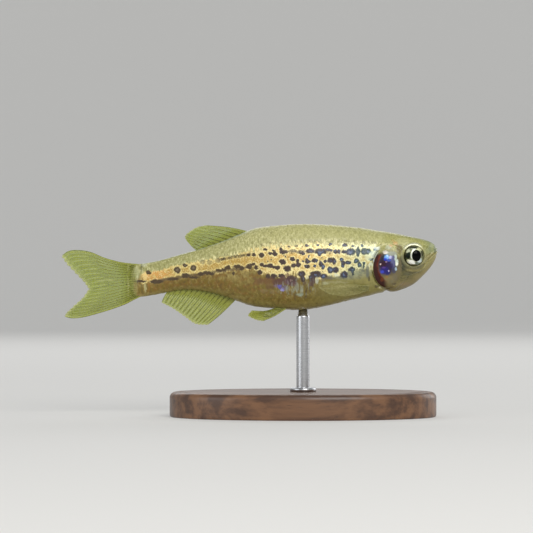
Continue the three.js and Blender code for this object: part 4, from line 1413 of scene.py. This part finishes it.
# Marks on the iris in millimetres: forward, up, two half sizes, strength, paint
IRIS_MARKS = (
    (-0.78, 0.62, 0.34, 0.26, 0.9, (226, 230, 196)), (0.7, 0.82, 0.4, 0.2, 0.9, (236, 234, 184)),
    (-0.05, 1.0, 0.46, 0.11, 0.95, (40, 46, 36)), (-0.1, 0.84, 0.4, 0.1, 0.6, (200, 206, 184)),
    (-0.76, -0.02, 0.34, 0.44, 1.0, (20, 26, 20)), (-0.6, 0.26, 0.18, 0.24, 0.9, (34, 46, 36)),
    (-0.9, -0.5, 0.18, 0.3, 0.8, (78, 86, 52)), (0.95, 0.26, 0.13, 0.42, 0.9, (52, 50, 32)),
    (-0.42, -0.72, 0.5, 0.26, 1.0, (250, 250, 240)), (-0.16, -0.9, 0.34, 0.16, 1.0, (246, 248, 240)),
    (-0.72, -0.56, 0.18, 0.16, 0.9, (240, 238, 200)), (0.3, -0.9, 0.16, 0.22, 0.9, (96, 106, 96)),
    (0.64, -0.6, 0.3, 0.2, 1.0, (216, 228, 230)), (0.8, -0.44, 0.14, 0.2, 0.9, (190, 206, 206)),
    (0.56, -0.94, 0.4, 0.14, 0.6, (128, 140, 128)), (-0.2, -1.08, 0.6, 0.12, 0.8, (116, 112, 70)),
)


def eye_material():
    """Black lens, silver ring, dark patches before and behind, silver crescents below."""
    shade = Shade("eye_of_danio", Coat_Weight=0.14, Coat_Roughness=0.03, Coat_IOR=1.33,
                  Specular_IOR_Level=0.03)
    forward, up = shade.value("iris_forward"), shade.value("iris_up")
    place = shade.node("ShaderNodeCombineXYZ", {}, {0: forward, 1: 0.0, 2: up})
    grain = shade.noise(place, 7.0, 3, 0.6)
    wobbly = place + (shade.noise(place, 4.0, 2) - 0.5) * 0.1
    iris = shade.mix(grain.step(0.3, 0.7), paint(66, 70, 46), paint(150, 154, 116))
    iris = dab(shade, wobbly, iris, IRIS_MARKS)
    from_pupil = oval(shade, place, *PUPIL, *PUPIL_HALF)
    ring = (from_pupil - 1.14).size().step(0.2, 0.1)
    behind = forward.step(0.3, -0.05) * up.step(-0.5, -0.2)
    iris = shade.mix(ring * behind * 0.95, iris, paint(228, 232, 220))
    thin_ring = (from_pupil - 1.06).size().step(0.07, 0.02)
    iris = shade.mix(thin_ring * 0.5, iris, paint(190, 194, 170))
    pupil = from_pupil.step(1.03, 0.98)
    edge = oval(shade, place, 0.08, 0.0, EYE_RADIUS, EYE_RADIUS).step(0.93, 1.0)
    colour = shade.mix(edge * 0.7, iris, paint(60, 58, 40))
    shade.set(
        Base_Color=shade.mix(pupil, colour, (0.001, 0.001, 0.0015)),
        Metallic=(1 - pupil) * 0.35,
        Roughness=0.3 - pupil * 0.2,
    )
    return shade.material


iris_material = eye_material()
eyes = {"right": eye("eyeball_right", -1), "left": eye("eyeball_left", 1)}
for ball in eyes.values():
    ball.data.materials.append(iris_material)

# %% [markdown]
# A fin is a clear sheet between four edges: where it grows from the body, its leading ray, its
# last ray and its outer margin. It could be drawn as a flat outline and filled, but then the
# rays would have nothing to follow. A blend of the four edges gives any point of the sheet, by
# how far it is across the fin and how far out, so membrane and rays share one surface.

# %% Edges of the fins, in millimetres
def in_plane(points):
    """Points in the fish's middle plane, from X and Z."""
    return [(x, 0.0, z) for x, z in points]


def beside(x, z, clear):
    """A point beside the flank, on the left, clear of it by a distance."""
    return x, float(flank(np.array([x]), np.array([z]))[0]) + clear, z


TAIL_NOTCH = (-19.26, 15.32)
TAIL_TIP_X = -22.56
DORSAL_FIN = {
    "root": in_plane([(0.12, 22.2), (-2.9, 20.9), (-6.1, 19.8)]),
    "lead": in_plane([(0.12, 22.2), (-2.3, 22.72), (-5.05, 22.97)]),
    "last": in_plane([(-6.1, 19.8), (-6.6, 20.15), (-6.95, 20.5)]),
    "margin": in_plane([(-5.05, 22.97), (-6.25, 22.75), (-7.15, 22.22), (-7.68, 21.7), (-7.55, 21.2),
                        (-6.95, 20.5)]),
}
ANAL_FIN = {
    "root": in_plane([(-1.5, 14.1), (-5, 15.35), (-9.7, 15.2)]),
    "lead": in_plane([(-1.5, 14.1), (-3.4, 12.25), (-4.95, 11)]),
    "last": in_plane([(-9.7, 15.2), (-10.2, 14.4), (-10.5, 13.7)]),
    "margin": in_plane([(-4.95, 11), (-6.45, 11.12), (-7.75, 12.0), (-9.1, 12.95), (-10.5, 13.7)]),
}
TAIL_UPPER = {
    "root": in_plane([(-12.9, 18.3), (-12.8, 17.4), (-12.8, 16.34)]),
    "lead": in_plane([(-12.9, 18.3), (-14.2, 18.4), (-15.6, 18.6), (-17.4, 19.1), (-18.9, 19.74),
                      (-20.3, 19.98), (-21.6, 19.9), (TAIL_TIP_X, 19.28)]),
    "last": in_plane([(-12.8, 16.34), (-16, 15.82), TAIL_NOTCH]),
    "margin": in_plane([(TAIL_TIP_X, 19.28), (-21.9, 18.3), (-20.85, 17.2), (-19.85, 16.15), TAIL_NOTCH]),
}
TAIL_LOWER = {
    "root": in_plane([(-12.8, 16.34), (-12.8, 15.3), (-12.9, 14.44)]),
    "lead": in_plane([(-12.8, 16.34), (-16, 15.82), TAIL_NOTCH]),
    "last": in_plane([(-12.9, 14.44), (-13.9, 13.96), (-14.9, 13.45), (-16.7, 12.8), (-18.5, 12.26),
                      (-20, 11.9), (-21.2, 11.8), (-22.2, 12.0)]),
    "margin": in_plane([TAIL_NOTCH, (-20, 14.25), (-21.05, 13.3), (-21.9, 12.5), (-22.2, 12.0)]),
}
PELVIC_FIN = {
    "root": [(4.5, 0.85, 12.98), (3.9, 0.9, 13.02), (3.3, 0.85, 13.08)],
    "lead": [(4.5, 0.85, 12.98), (3.1, 1.25, 12.1), (1.7, 1.55, 11.5)],
    "last": [(3.3, 0.85, 13.08), (1.9, 0.85, 12.7), (0.3, 0.8, 12.75)],
    "margin": [(1.7, 1.55, 11.5), (0.75, 1.5, 11.65), (-0.1, 1.2, 12.15), (0.3, 0.8, 12.75)],
}
PECTORAL_FIN = {
    "root": [beside(14.5, 15.75, -0.15), beside(14.35, 15.15, -0.15)],
    "lead": [beside(14.5, 15.75, -0.15), beside(12.9, 15.85, 0.42), beside(10.5, 16.05, 0.72),
             beside(8.2, 16.1, 0.95)],
    "last": [beside(14.35, 15.15, -0.15), beside(13.2, 14.75, 0.5), beside(11.6, 14.45, 0.85)],
    "margin": [beside(8.2, 16.1, 0.95), beside(8.35, 15.45, 1.0), beside(9.6, 14.75, 1.0),
               beside(11.6, 14.45, 0.85)],
}


# %% Any point of a fin's sheet
def edge_curve(points, share):
    """A smooth curve through a few points, at shares of its way."""
    values = np.array(points, float)
    if len(values) == 2:
        return values[0] + (values[1] - values[0]) * share[..., None]
    ends = [2 * values[0] - values[1]], [2 * values[-1] - values[-2]]
    values = np.concatenate([ends[0], values, ends[1]])
    place = share * (len(values) - 3)
    start = np.clip(np.floor(place), 0, len(values) - 4).astype(int)
    return smooth_piece((place - start)[..., None], *(values[start + step] for step in range(4)))


def partway(first, last, share):
    """Places at shares of the way from the first to the last."""
    return first * (1 - share[..., None]) + last * share[..., None]


def sheet_point(fin, across, out):
    """A point of the fin's sheet: across from the leading to the last ray, out from the root."""
    across, out = np.broadcast_arrays(np.asarray(across, float), np.asarray(out, float))
    rayward = partway(edge_curve(fin["lead"], out), edge_curve(fin["last"], out), across)
    crossways = partway(edge_curve(fin["root"], across), edge_curve(fin["margin"], across), out)
    root, margin = np.array(fin["root"]), np.array(fin["margin"])
    corners = partway(partway(root[0], root[-1], across), partway(margin[0], margin[-1], across), out)
    return rayward + crossways - corners


# %% The way a fin faces, and its wave
def sideways(fin, across, out):
    """The direction that the fin's sheet faces."""
    step = 0.01
    before, after = np.maximum(across - step, 0), np.minimum(across + step, 1)
    inner, outer = np.maximum(out - step, 0), np.minimum(out + step, 1)
    crossing = sheet_point(fin, after, out) - sheet_point(fin, before, out)
    rising = sheet_point(fin, across, outer) - sheet_point(fin, across, inner)
    facing = np.cross(crossing, rising)
    return facing / np.linalg.norm(facing, axis=-1, keepdims=True).clip(1e-9)


def wave(across, out, reach):
    """A living fin is never quite flat: a slow wave, wider toward the margin."""
    return reach * out**1.5 * np.sin(2.2 * math.pi * across + 1.4 * out + 0.6)


# %% [markdown]
# The membrane is the sheet with a real thickness from Solidify, scalloped because it is cut
# back a little between the ends of the rays. A single face would do for the eye, but a real
# skin has two. Each point keeps where it lies on the fin, which the finish reads.

# %% Membranes
def membrane(name, fins, rays, reach, thickness, side=1):
    """The clear sheet of one or more fins that share a body, with a scalloped margin."""
    steps_out = 44
    points, faces, ray_share, out_share, lead_share = [], [], [], [], []
    for number, (fin, count) in enumerate(zip(fins, rays)):
        columns = 8 * count
        shares = np.linspace(0, 1, columns + 1), np.linspace(0, 1, steps_out + 1)
        across, out = np.meshgrid(*shares, indexing="ij")
        scallop = 0.5 - 0.5 * np.cos(2 * math.pi * across * count)
        reach_out = out * (1 - 0.022 * (1 - scallop) * smooth_step(out, 0.75, 1.0))
        middle = sheet_point(fin, across, reach_out)
        middle = middle + sideways(fin, across, reach_out) * wave(across, out, reach)[..., None]
        first = sum(len(block) for block in points)
        points.append(middle.reshape(-1, 3))
        ray_share.append(scallop.ravel())
        out_share.append(out.ravel())
        inward = across * count if number == 0 else (1 - across) * count
        lead_share.append(inward.ravel())
        wide = steps_out + 1
        for column in range(columns):
            for row in range(steps_out):
                a = first + column * wide + row
                faces.append((a, a + 1, a + wide + 1, a + wide))
    points = np.concatenate(points)
    points[:, 1] *= side
    piece = mesh_object(name, points, faces)
    add_values(piece, "ray", np.concatenate(ray_share))
    add_values(piece, "out", np.concatenate(out_share))
    add_values(piece, "from_lead", np.concatenate(lead_share))
    shape = bmesh.new()
    shape.from_mesh(piece.data)
    bmesh.ops.remove_doubles(shape, verts=shape.verts, dist=0.002 * MM)
    bmesh.ops.recalc_face_normals(shape, faces=shape.faces)
    shape.to_mesh(piece.data)
    shape.free()
    solid = piece.modifiers.new("thickness", "SOLIDIFY")
    solid.thickness = thickness * MM
    solid.offset = 0
    piece.data = plain_mesh(piece, solid)
    piece.data.shade_smooth()
    return piece


# %% [markdown]
# The rays are fine tapering rods in the membrane, which split in two part of the way out, and
# in two again. Stripes in the membrane's colour would be simpler, but real rays stand out of
# it. Their lines come from the fin's own sheet, and one tree of nodes makes rods of them.

# %% Lines for the rays
def ray_lines(name, fins, rays, reach, thick, forks=2, side=1, swell=0.6):
    """Lines for the rays, swollen at the root. Each splits in two part of the way out, and again."""
    steps = 40
    points, edges, radii, lengths = [], [], [], []
    for fin, count in zip(fins, rays):
        for ray in range(count):
            middle = (ray + 0.5) / count
            upper_edge = ray == 0 and fin is fins[0]
            lower_edge = len(fins) > 1 and ray == count - 1 and fin is fins[-1]
            leading = upper_edge or lower_edge
            paths = 1 if leading else 2**forks
            for path in range(paths):
                out = np.linspace(0, 1, steps + 1)
                offset = np.zeros_like(out)
                for fork in range(forks if paths > 1 else 0):
                    way = 1 if (path >> fork) & 1 else -1
                    start = 0.38 + 0.3 * fork
                    offset += way * (0.5 / 2 ** (fork + 1)) * smooth_step(out, start, start + 0.35)
                across = (middle + offset / count).clip(0, 1)
                line = sheet_point(fin, across, out * 0.995)
                line = line + sideways(fin, across, out) * wave(across, out, reach)[..., None]
                line[:, 1] *= side
                first = len(points)
                points.extend(line)
                edges.extend((first + i, first + i + 1) for i in range(steps))
                thin = 1 - 0.72 * out + (0 if leading else swell) * smooth_step(out, 0.24, 0.02)
                bold = 1.5 if leading else 1.0
                radii.extend(thick / 2 * thin * bold)
                strides = np.linalg.norm(np.diff(line, axis=0), axis=1)
                lengths.extend(np.concatenate([[0], np.cumsum(strides)]))
    piece = mesh_object(name, points, [], edges)
    add_values(piece, "thick", np.array(radii) * MM)
    add_values(piece, "along_ray", lengths)
    return piece


# %% Rods along lines by Geometry Nodes
def rod_tree():
    """Turns lines into tapering rods of a given number of sides."""
    tree = Tree("rods_along_lines", {
        "Geometry": "Geometry", "Sides": "Int", "Material": "Material",
    })
    lines = tree.node("GeometryNodeMeshToCurve", {}, {0: tree.input("Geometry")})
    thick = tree.node("GeometryNodeInputNamedAttribute", {"data_type": "FLOAT"}, {"Name": "thick"})
    sized = tree.node("GeometryNodeSetCurveRadius", {}, {"Curve": lines, "Radius": thick})
    circle = {"Resolution": tree.input("Sides"), "Radius": 1.0}
    ring = tree.node("GeometryNodeCurvePrimitiveCircle", {}, circle)
    inputs = {"Curve": sized, "Profile Curve": ring, "Scale": thick, "Fill Caps": True}
    rods = tree.node("GeometryNodeCurveToMesh", {}, inputs)
    smooth = tree.node("GeometryNodeSetShadeSmooth", {}, {"Geometry": rods})
    tree.finish(smooth, tree.input("Material"))
    return tree


rods = rod_tree()


def make_rods(piece, sides, material):
    """Replaces a piece's lines by rods."""
    mesh = rods.apply(piece, {"Sides": sides, "Material": material})
    mesh.name = piece.name
    piece.data = mesh
    face_outwards(piece)
    print(piece.name, "triangles:", 2 * len(mesh.polygons))
    return piece


# %% [markdown]
# The fins are clear with an olive cast. The membrane lets more than half of the light straight
# through, and the rays less. The paired fins are clearer still. Glass would bend the light and
# take long to render. A thin membrane hardly bends it, so Alpha alone does the work.

# %% Finish of the membranes
def membrane_material(name, tint, clear, stripes=0.45, bold=1.0):
    """Clear membrane: darker between the rays and on the leading edge, cloudier at the root."""
    shade = Shade(name, Roughness=0.25, Specular_IOR_Level=0.35)
    place = photo_place(shade)
    ray, out, from_lead = shade.value("ray"), shade.value("out"), shade.value("from_lead")
    grain = shade.noise(place, 0.4, 3, 0.6)
    streaks = shade.noise(place * (0.5, 1.0, 1.0), 0.9, 2, 0.6)
    colour = shade.mix(grain.step(0.3, 0.7), paint(*tint), paint(*(level + 26 for level in tint)))
    between = ray.step(0.45, 0.0) * out.step(0.08, 0.25)
    between = between * (0.55 + grain.step(0.35, 0.6) * 0.45) * out.step(0.99, 0.86)
    colour = shade.mix(between * stripes, colour, paint(*(level * 0.66 for level in tint)))
    colour = shade.mix(out.step(0.94, 1.0) * 0.7, colour, paint(206, 208, 150))
    dark_edge = from_lead.step(0.34, 0.05) * streaks.step(0.35, 0.6)
    colour = shade.mix(dark_edge * 0.6, colour, paint(74, 74, 30))
    fleshy = out.step(0.42, 0.1) * bold
    colour = shade.mix(fleshy, colour, paint(*FIN_ROOT_PAINT))
    alpha = clear + between * stripes * 0.3 + fleshy * (0.95 - clear)
    alpha = alpha + (out.step(0.95, 1.0) * 0.2 + dark_edge * 0.3) * bold
    shade.set(Base_Color=colour, Alpha=alpha.least(0.96), Normal=shade.bump(ray + grain * 0.3, 0.00003, 0.5))
    return shade.material


# %% Finish of the rays
GLINTS = (
    (104, 280.2, 10, 0.9, 0.9, (236, 236, 170)), (97, 287, 7, 1.2, 0.7, (214, 224, 160)),
    (106, 284.4, 2.6, 0.8, 0.8, (60, 66, 24)), (268.5, 313.2, 4, 1.2, 0.9, (232, 232, 196)),
    (266, 316.6, 3.4, 1, 0.8, (70, 70, 32)), (72, 316.6, 9, 1, 0.8, (214, 212, 130)),
)


def ray_material(name, pale, clear, opaque_root=1.0):
    """Horny rays in short joints, paler than the membrane, with a few glints."""
    shade = Shade(name, Roughness=0.32)
    place = photo_place(shade)
    along_ray = shade.value("along_ray")
    joint = shade.node("ShaderNodeMath", {"operation": "FRACT"}, {0: along_ray * 3.4})
    gap = (joint - 0.5).size().step(0.4, 0.5) * along_ray.step(0.5, 1.2)
    colour = shade.mix(gap * 0.6, paint(*pale), paint(*(level * 0.6 for level in pale)))
    colour = dab(shade, place, colour, GLINTS)
    root = along_ray.step(3.2, 0.8) * opaque_root
    colour = shade.mix(root * 0.8, colour, paint(*FIN_ROOT_PAINT))
    alpha = clear + root * (0.97 - clear)
    shade.set(Base_Color=colour, Alpha=alpha, Normal=shade.bump(1 - gap, 0.00002, 0.6))
    return shade.material


# %% All seven fins
OLIVE_FIN = (
    membrane_material("fin_membrane", (138, 152, 14), 0.46),
    ray_material("fin_rays", (178, 180, 84), 0.6),
)
STRIPED_FIN = (
    membrane_material("anal_fin_membrane", (150, 160, 34), 0.46, stripes=1.0),
    OLIVE_FIN[1],
)
VEIL_FIN = (
    membrane_material("pelvic_fin_membrane", (150, 158, 50), 0.3),
    OLIVE_FIN[1],
)
PALE_FIN = (
    membrane_material("pectoral_fin_membrane", (160, 160, 92), 0.07, stripes=0.1, bold=0.25),
    ray_material("pectoral_fin_rays", (190, 184, 126), 0.24, opaque_root=0.3),
)


def fin(name, fins, rays, reach, thick_ray, thickness=0.05, side=1, forks=2, finish=OLIVE_FIN, swell=0.6):
    """A whole fin: its membrane and its rays."""
    clear_fin, horny_ray = finish
    sheet = membrane(f"{name}_membrane", fins, rays, reach, thickness, side)
    sheet.data.materials.clear()
    sheet.data.materials.append(clear_fin)
    lines = ray_lines(f"{name}_rays", fins, rays, reach, thick_ray, forks, side, swell)
    lines = make_rods(lines, 6, horny_ray)
    print(name, "membrane triangles:", 2 * len(sheet.data.polygons))
    return [sheet, lines]


fin_pieces = {
    "dorsal_fin": fin("dorsal_fin", [DORSAL_FIN], [9], 0.12, 0.15),
    "anal_fin": fin("anal_fin", [ANAL_FIN], [14], 0.1, 0.13, forks=1, finish=STRIPED_FIN),
    "caudal_fin": fin("caudal_fin", [TAIL_UPPER, TAIL_LOWER], [9, 9], 0.16, 0.14, swell=1.1),
}
for word, hand in (("left", 1), ("right", -1)):
    fin_pieces[f"pelvic_fin_{word}"] = fin(
        f"pelvic_fin_{word}", [PELVIC_FIN], [7], 0.05, 0.12, side=hand, finish=VEIL_FIN
    )
    fin_pieces[f"pectoral_fin_{word}"] = fin(
        f"pectoral_fin_{word}", [PECTORAL_FIN], [10], 0.06, 0.08, side=hand, forks=1, finish=PALE_FIN
    )

# %% [markdown]
# Two pairs of barbels: short ones from the snout and longer ones from the corners of the mouth.
# They are soft feelers that taper to a hair. A bent cylinder would need its own taper, so each
# is one line with a radius at every point, and the tree that made the rays makes them too.

# %% Barbels
ROSTRAL_BARBEL = [(21.8, 0.95, 19.75), (21.6, 1.5, 19.35), (21.15, 1.9, 18.75)]
MAXILLARY_BARBEL = [(21.1, 1.2, 18.35), (20.75, 1.75, 17.75), (19.8, 2.15, 17.2), (18.6, 2.62, 16.85)]
BARBEL_ROOT = 0.17
BARBEL_TIP = 0.05


def barbel(name, points, side):
    """A soft feeler, thick at its root."""
    share = np.linspace(0, 1, 25)
    line = edge_curve(points, share)
    line[:, 1] *= side
    mesh = bpy.data.meshes.new(name)
    mesh.from_pydata((line * MM).tolist(), [(i, i + 1) for i in range(24)], [])
    piece = bpy.data.objects.new(name, mesh)
    bpy.context.scene.collection.objects.link(piece)
    add_values(piece, "thick", (BARBEL_ROOT + (BARBEL_TIP - BARBEL_ROOT) * share**0.8) / 2 * MM)
    add_values(piece, "height", np.full(25, 0.3))
    return make_rods(piece, 10, skin_material)


barbels = {}
for word, hand in (("left", 1), ("right", -1)):
    barbels[f"barbel_rostral_{word}"] = barbel(f"feeler_rostral_{word}", ROSTRAL_BARBEL, hand)
    barbels[f"barbel_maxillary_{word}"] = barbel(f"feeler_maxillary_{word}", MAXILLARY_BARBEL, hand)

# %% [markdown]
# The stand: a turned oval of dark walnut with a rounded edge, and a polished steel rod that
# ends at the belly. Primitives with a bevel would come close, but a profile spun round an axis
# gives each its own edge, as on a lathe. The base is then narrowed to an oval. A small collar
# covers the joint between rod and wood.

# %% The stand
BASE_HALF = 16.0
BASE_WIDTH_SHARE = 20 / 32
BASE_HEIGHT = 3.0
ROD_X = 6.48
ROD_RADIUS = 0.8


def turned(name, profile, spokes, squeeze=1.0):
    """A profile of radii and heights spun round the rod's axis, closed at both ends."""
    angle = np.linspace(0, 2 * math.pi, spokes, endpoint=False)
    radius, height = np.array(profile)[:, 0], np.array(profile)[:, 1]
    x = ROD_X + radius[:, None] * np.cos(angle)
    y = squeeze * radius[:, None] * np.sin(angle)
    z = np.repeat(height[:, None], spokes, axis=1)
    grid = np.stack([x, y, z], axis=2).reshape(-1, 3)
    ends = np.array([[ROD_X, 0, height[0]], [ROD_X, 0, height[-1]]])
    faces = close_ends(ring_faces(len(profile), spokes), len(profile), spokes)
    piece = mesh_object(name, np.concatenate([grid, ends]), faces)
    face_outwards(piece)
    return piece


def rounded_corner(radius, height, size, start, end, count=8):
    """Points of an arc that rounds a corner of a profile."""
    return [
        (radius + size * math.cos(angle), height + size * math.sin(angle))
        for angle in np.radians(np.linspace(start, end, count))
    ]


base_profile = [(BASE_HALF - 1.6, 0.0), (BASE_HALF - 0.5, 0.0)]
base_profile += rounded_corner(BASE_HALF - 0.25, 0.25, 0.25, -90, 0, 6)
base_profile += rounded_corner(BASE_HALF - 0.7, BASE_HEIGHT - 0.7, 0.7, 0, 90, 12)
base_profile += [(BASE_HALF - 1.0, BASE_HEIGHT), (BASE_HALF - 1.15, BASE_HEIGHT - 0.12),
                 (BASE_HALF - 1.35, BASE_HEIGHT - 0.12), (BASE_HALF - 1.5, BASE_HEIGHT),
                 (BASE_HALF - 4.0, BASE_HEIGHT)]
stand_base = turned("stand_wooden_base", base_profile, 160, BASE_WIDTH_SHARE)

belly_there = float(section(place_of(np.array([ROD_X])))[2][0])
rod_top = belly_there + 0.12
rod_profile = [(ROD_RADIUS, BASE_HEIGHT - 1.4), (ROD_RADIUS, BASE_HEIGHT)]
rod_profile += [(ROD_RADIUS, height) for height in np.linspace(BASE_HEIGHT + 1, rod_top - 1.2, 8)]
rod_profile += rounded_corner(ROD_RADIUS - 0.25, rod_top - 0.9, 0.25, 0, 60, 6)
rod_profile += [(0.5, rod_top)]
stand_rod = turned("stand_steel_rod", rod_profile, 48)
collar_profile = [(ROD_RADIUS + 0.02, BASE_HEIGHT), (1.55, BASE_HEIGHT)]
collar_profile += rounded_corner(1.4, BASE_HEIGHT + 0.3, 0.2, 0, 90, 6)
collar_profile += [(ROD_RADIUS + 0.15, BASE_HEIGHT + 0.5), (ROD_RADIUS + 0.02, BASE_HEIGHT + 0.45)]
stand_collar = turned("stand_steel_collar", collar_profile, 64)


# %% Walnut and steel
def walnut():
    """Dark walnut: long growth lines, short pores and a satin varnish."""
    shade = Shade("stand_walnut", Coat_Weight=0.35, Coat_Roughness=0.2, Specular_IOR_Level=0.4)
    place = shade.object_place() * (1000.0, 1000.0, 1000.0)
    bent = shifted(shade, place, 0.05, 2.4)
    lines = shade.noise(bent * (0.035, 1.1, 0.7), 1.0, 3, 0.6)
    pores = shade.noise(place * (0.3, 5.5, 5.5), 1.0, 3, 0.7)
    colour = shade.mix(lines.step(0.34, 0.66), paint(74, 48, 32), paint(118, 82, 54))
    colour = shade.mix(pores.step(0.6, 0.72) * 0.5, colour, paint(46, 29, 19))
    shade.set(
        Base_Color=colour,
        Roughness=0.42 + pores * 0.15,
        Normal=shade.bump(lines * 0.6 + pores.step(0.72, 0.6) * 0.4, 0.00004, 0.5),
    )
    return shade.material


def steel():
    """Polished steel with fine marks round the rod."""
    shade = Shade("stand_steel", Metallic=1.0)
    place = shade.object_place() * (1000.0, 1000.0, 1000.0)
    marks = shade.noise(place * (0.6, 0.6, 9.0), 1.0, 3, 0.6)
    colour = shade.mix(marks, paint(176, 178, 182), paint(204, 205, 208))
    shade.set(Base_Color=colour, Roughness=0.22 + marks * 0.14, Normal=shade.bump(marks, 0.00001, 0.3))
    return shade.material


stand_base.data.materials.append(walnut())
steel_finish = steel()
for piece in (stand_rod, stand_collar):
    piece.data.materials.append(steel_finish)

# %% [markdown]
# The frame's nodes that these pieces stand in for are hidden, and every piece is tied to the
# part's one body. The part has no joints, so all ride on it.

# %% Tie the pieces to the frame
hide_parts("head", "lower_jaw", "trunk", "tail_stalk")
for cover, node in ((gill_right, "gill_cover_right"), (gill_left, "gill_cover_left")):
    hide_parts(node)
for word, ball in eyes.items():
    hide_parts(f"eye_{word}")
for name, (sheet, lines) in fin_pieces.items():
    nodes = ("caudal_fin_upper", "caudal_fin_lower") if name == "caudal_fin" else (name,)
    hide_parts(*nodes)
for name, piece in barbels.items():
    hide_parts(name)
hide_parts("stand_base")
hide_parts("stand_rod")
every_piece = [skin, scales_right, scales_left, gill_right, gill_left, *eyes.values(), *barbels.values()]
every_piece += [piece for pair in fin_pieces.values() for piece in pair]
every_piece += [stand_base, stand_rod, stand_collar]
for piece in every_piece:
    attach(piece, "root")
print("pieces:", len(every_piece), "triangles:", sum(2 * len(piece.data.polygons) for piece in every_piece))

# %% [markdown]
# The stage is a round pale floor that curves up into a wall all the way round, so that a camera
# on any side sees a plain ground. A flat plane would show its edge. The lights are large and
# soft: a key from above on the side of the head, a broad fill on the side of the tail, and two
# behind that draw a line along the back.

# %% Stage
def round_stage():
    """A disc that turns up into a wall, as one surface."""
    spokes = 96
    flat_radius, curve, wall = 480.0, 280.0, 160.0
    profile = [(radius, 0.0) for radius in (60.0, 200.0, flat_radius)]
    profile += [
        (flat_radius + curve * math.sin(angle), curve * (1 - math.cos(angle)))
        for angle in np.radians(np.linspace(8, 90, 12))
    ]
    profile += [(flat_radius + curve, curve + wall)]
    angle = np.linspace(0, 2 * math.pi, spokes, endpoint=False)
    radius, height = np.array(profile)[:, 0], np.array(profile)[:, 1]
    ring_x, ring_y = radius[:, None] * np.cos(angle), radius[:, None] * np.sin(angle)
    grid = np.stack([ring_x, ring_y, np.repeat(height[:, None], spokes, 1)], axis=2)
    faces = ring_faces(len(profile), spokes)
    faces += [(len(profile) * spokes, column, (column + 1) % spokes) for column in range(spokes)]
    points = np.concatenate([grid.reshape(-1, 3), [[0, 0, 0]]])
    return mesh_object("stage", points, faces)


stage = round_stage()
PAPER = (0.46, 0.455, 0.44, 1.0)
stage_shade = Shade("stage_paper", Roughness=0.95, Specular_IOR_Level=0.1, Base_Color=PAPER,
                    Emission_Color=(1.0, 0.99, 0.97, 1.0), Emission_Strength=0.24)
stage.data.materials.append(stage_shade.material)


# %% Lights
def soft_light(name, place, target, size, power, colour=(1.0, 1.0, 1.0)):
    """A square softbox, places in millimetres, that looks at a target."""
    lamp = bpy.data.lights.new(name, "AREA")
    lamp.shape = "RECTANGLE"
    lamp.size, lamp.size_y = (side * MM for side in size)
    lamp.energy = power
    lamp.color = colour
    holder = bpy.data.objects.new(name, lamp)
    holder.location = Vector(place) * MM
    aim = Vector(target) * MM - holder.location
    holder.rotation_euler = aim.to_track_quat("-Z", "Y").to_euler()
    bpy.context.scene.collection.objects.link(holder)


FISH_MIDDLE = (2.0, 0.0, 17.0)
soft_light("key", (130, -330, 230), FISH_MIDDLE, (240, 200), 1.1, (1.0, 0.98, 0.94))
soft_light("fill", (-330, -200, 110), FISH_MIDDLE, (260, 240), 0.4, (0.96, 0.98, 1.0))
soft_light("back", (-60, 330, 230), FISH_MIDDLE, (300, 200), 0.35)
soft_light("far_side", (300, 220, 120), FISH_MIDDLE, (260, 220), 0.4)

world = bpy.data.worlds.new("studio")
world.use_nodes = True
world.node_tree.nodes["Background"].inputs["Color"].default_value = (0.8, 0.85, 0.9, 1)
world.node_tree.nodes["Background"].inputs["Strength"].default_value = 0.4
bpy.context.scene.world = world
bpy.context.scene.view_settings.view_transform = "Standard"

# %% [markdown]
# The camera looks level at the fish's right side, as in the photograph. Its distance follows
# from the lens: the picture is as wide as the photograph is on the fish.

# %% Camera
centre_x, centre_z = seen(PHOTO_CENTRE, PHOTO_CENTRE)
camera_data = bpy.data.cameras.new("camera")
camera_data.lens = CAMERA_LENS
camera_data.sensor_width = CAMERA_SENSOR
camera_data.clip_start = 0.005
camera_data.clip_end = 5.0
camera = bpy.data.objects.new("camera", camera_data)
camera.location = Vector((centre_x, -CAMERA_DISTANCE, centre_z)) * MM
camera.rotation_euler = (math.radians(90), 0, 0)
bpy.context.scene.collection.objects.link(camera)
bpy.context.scene.camera = camera
print("camera distance, mm:", round(CAMERA_DISTANCE, 1))
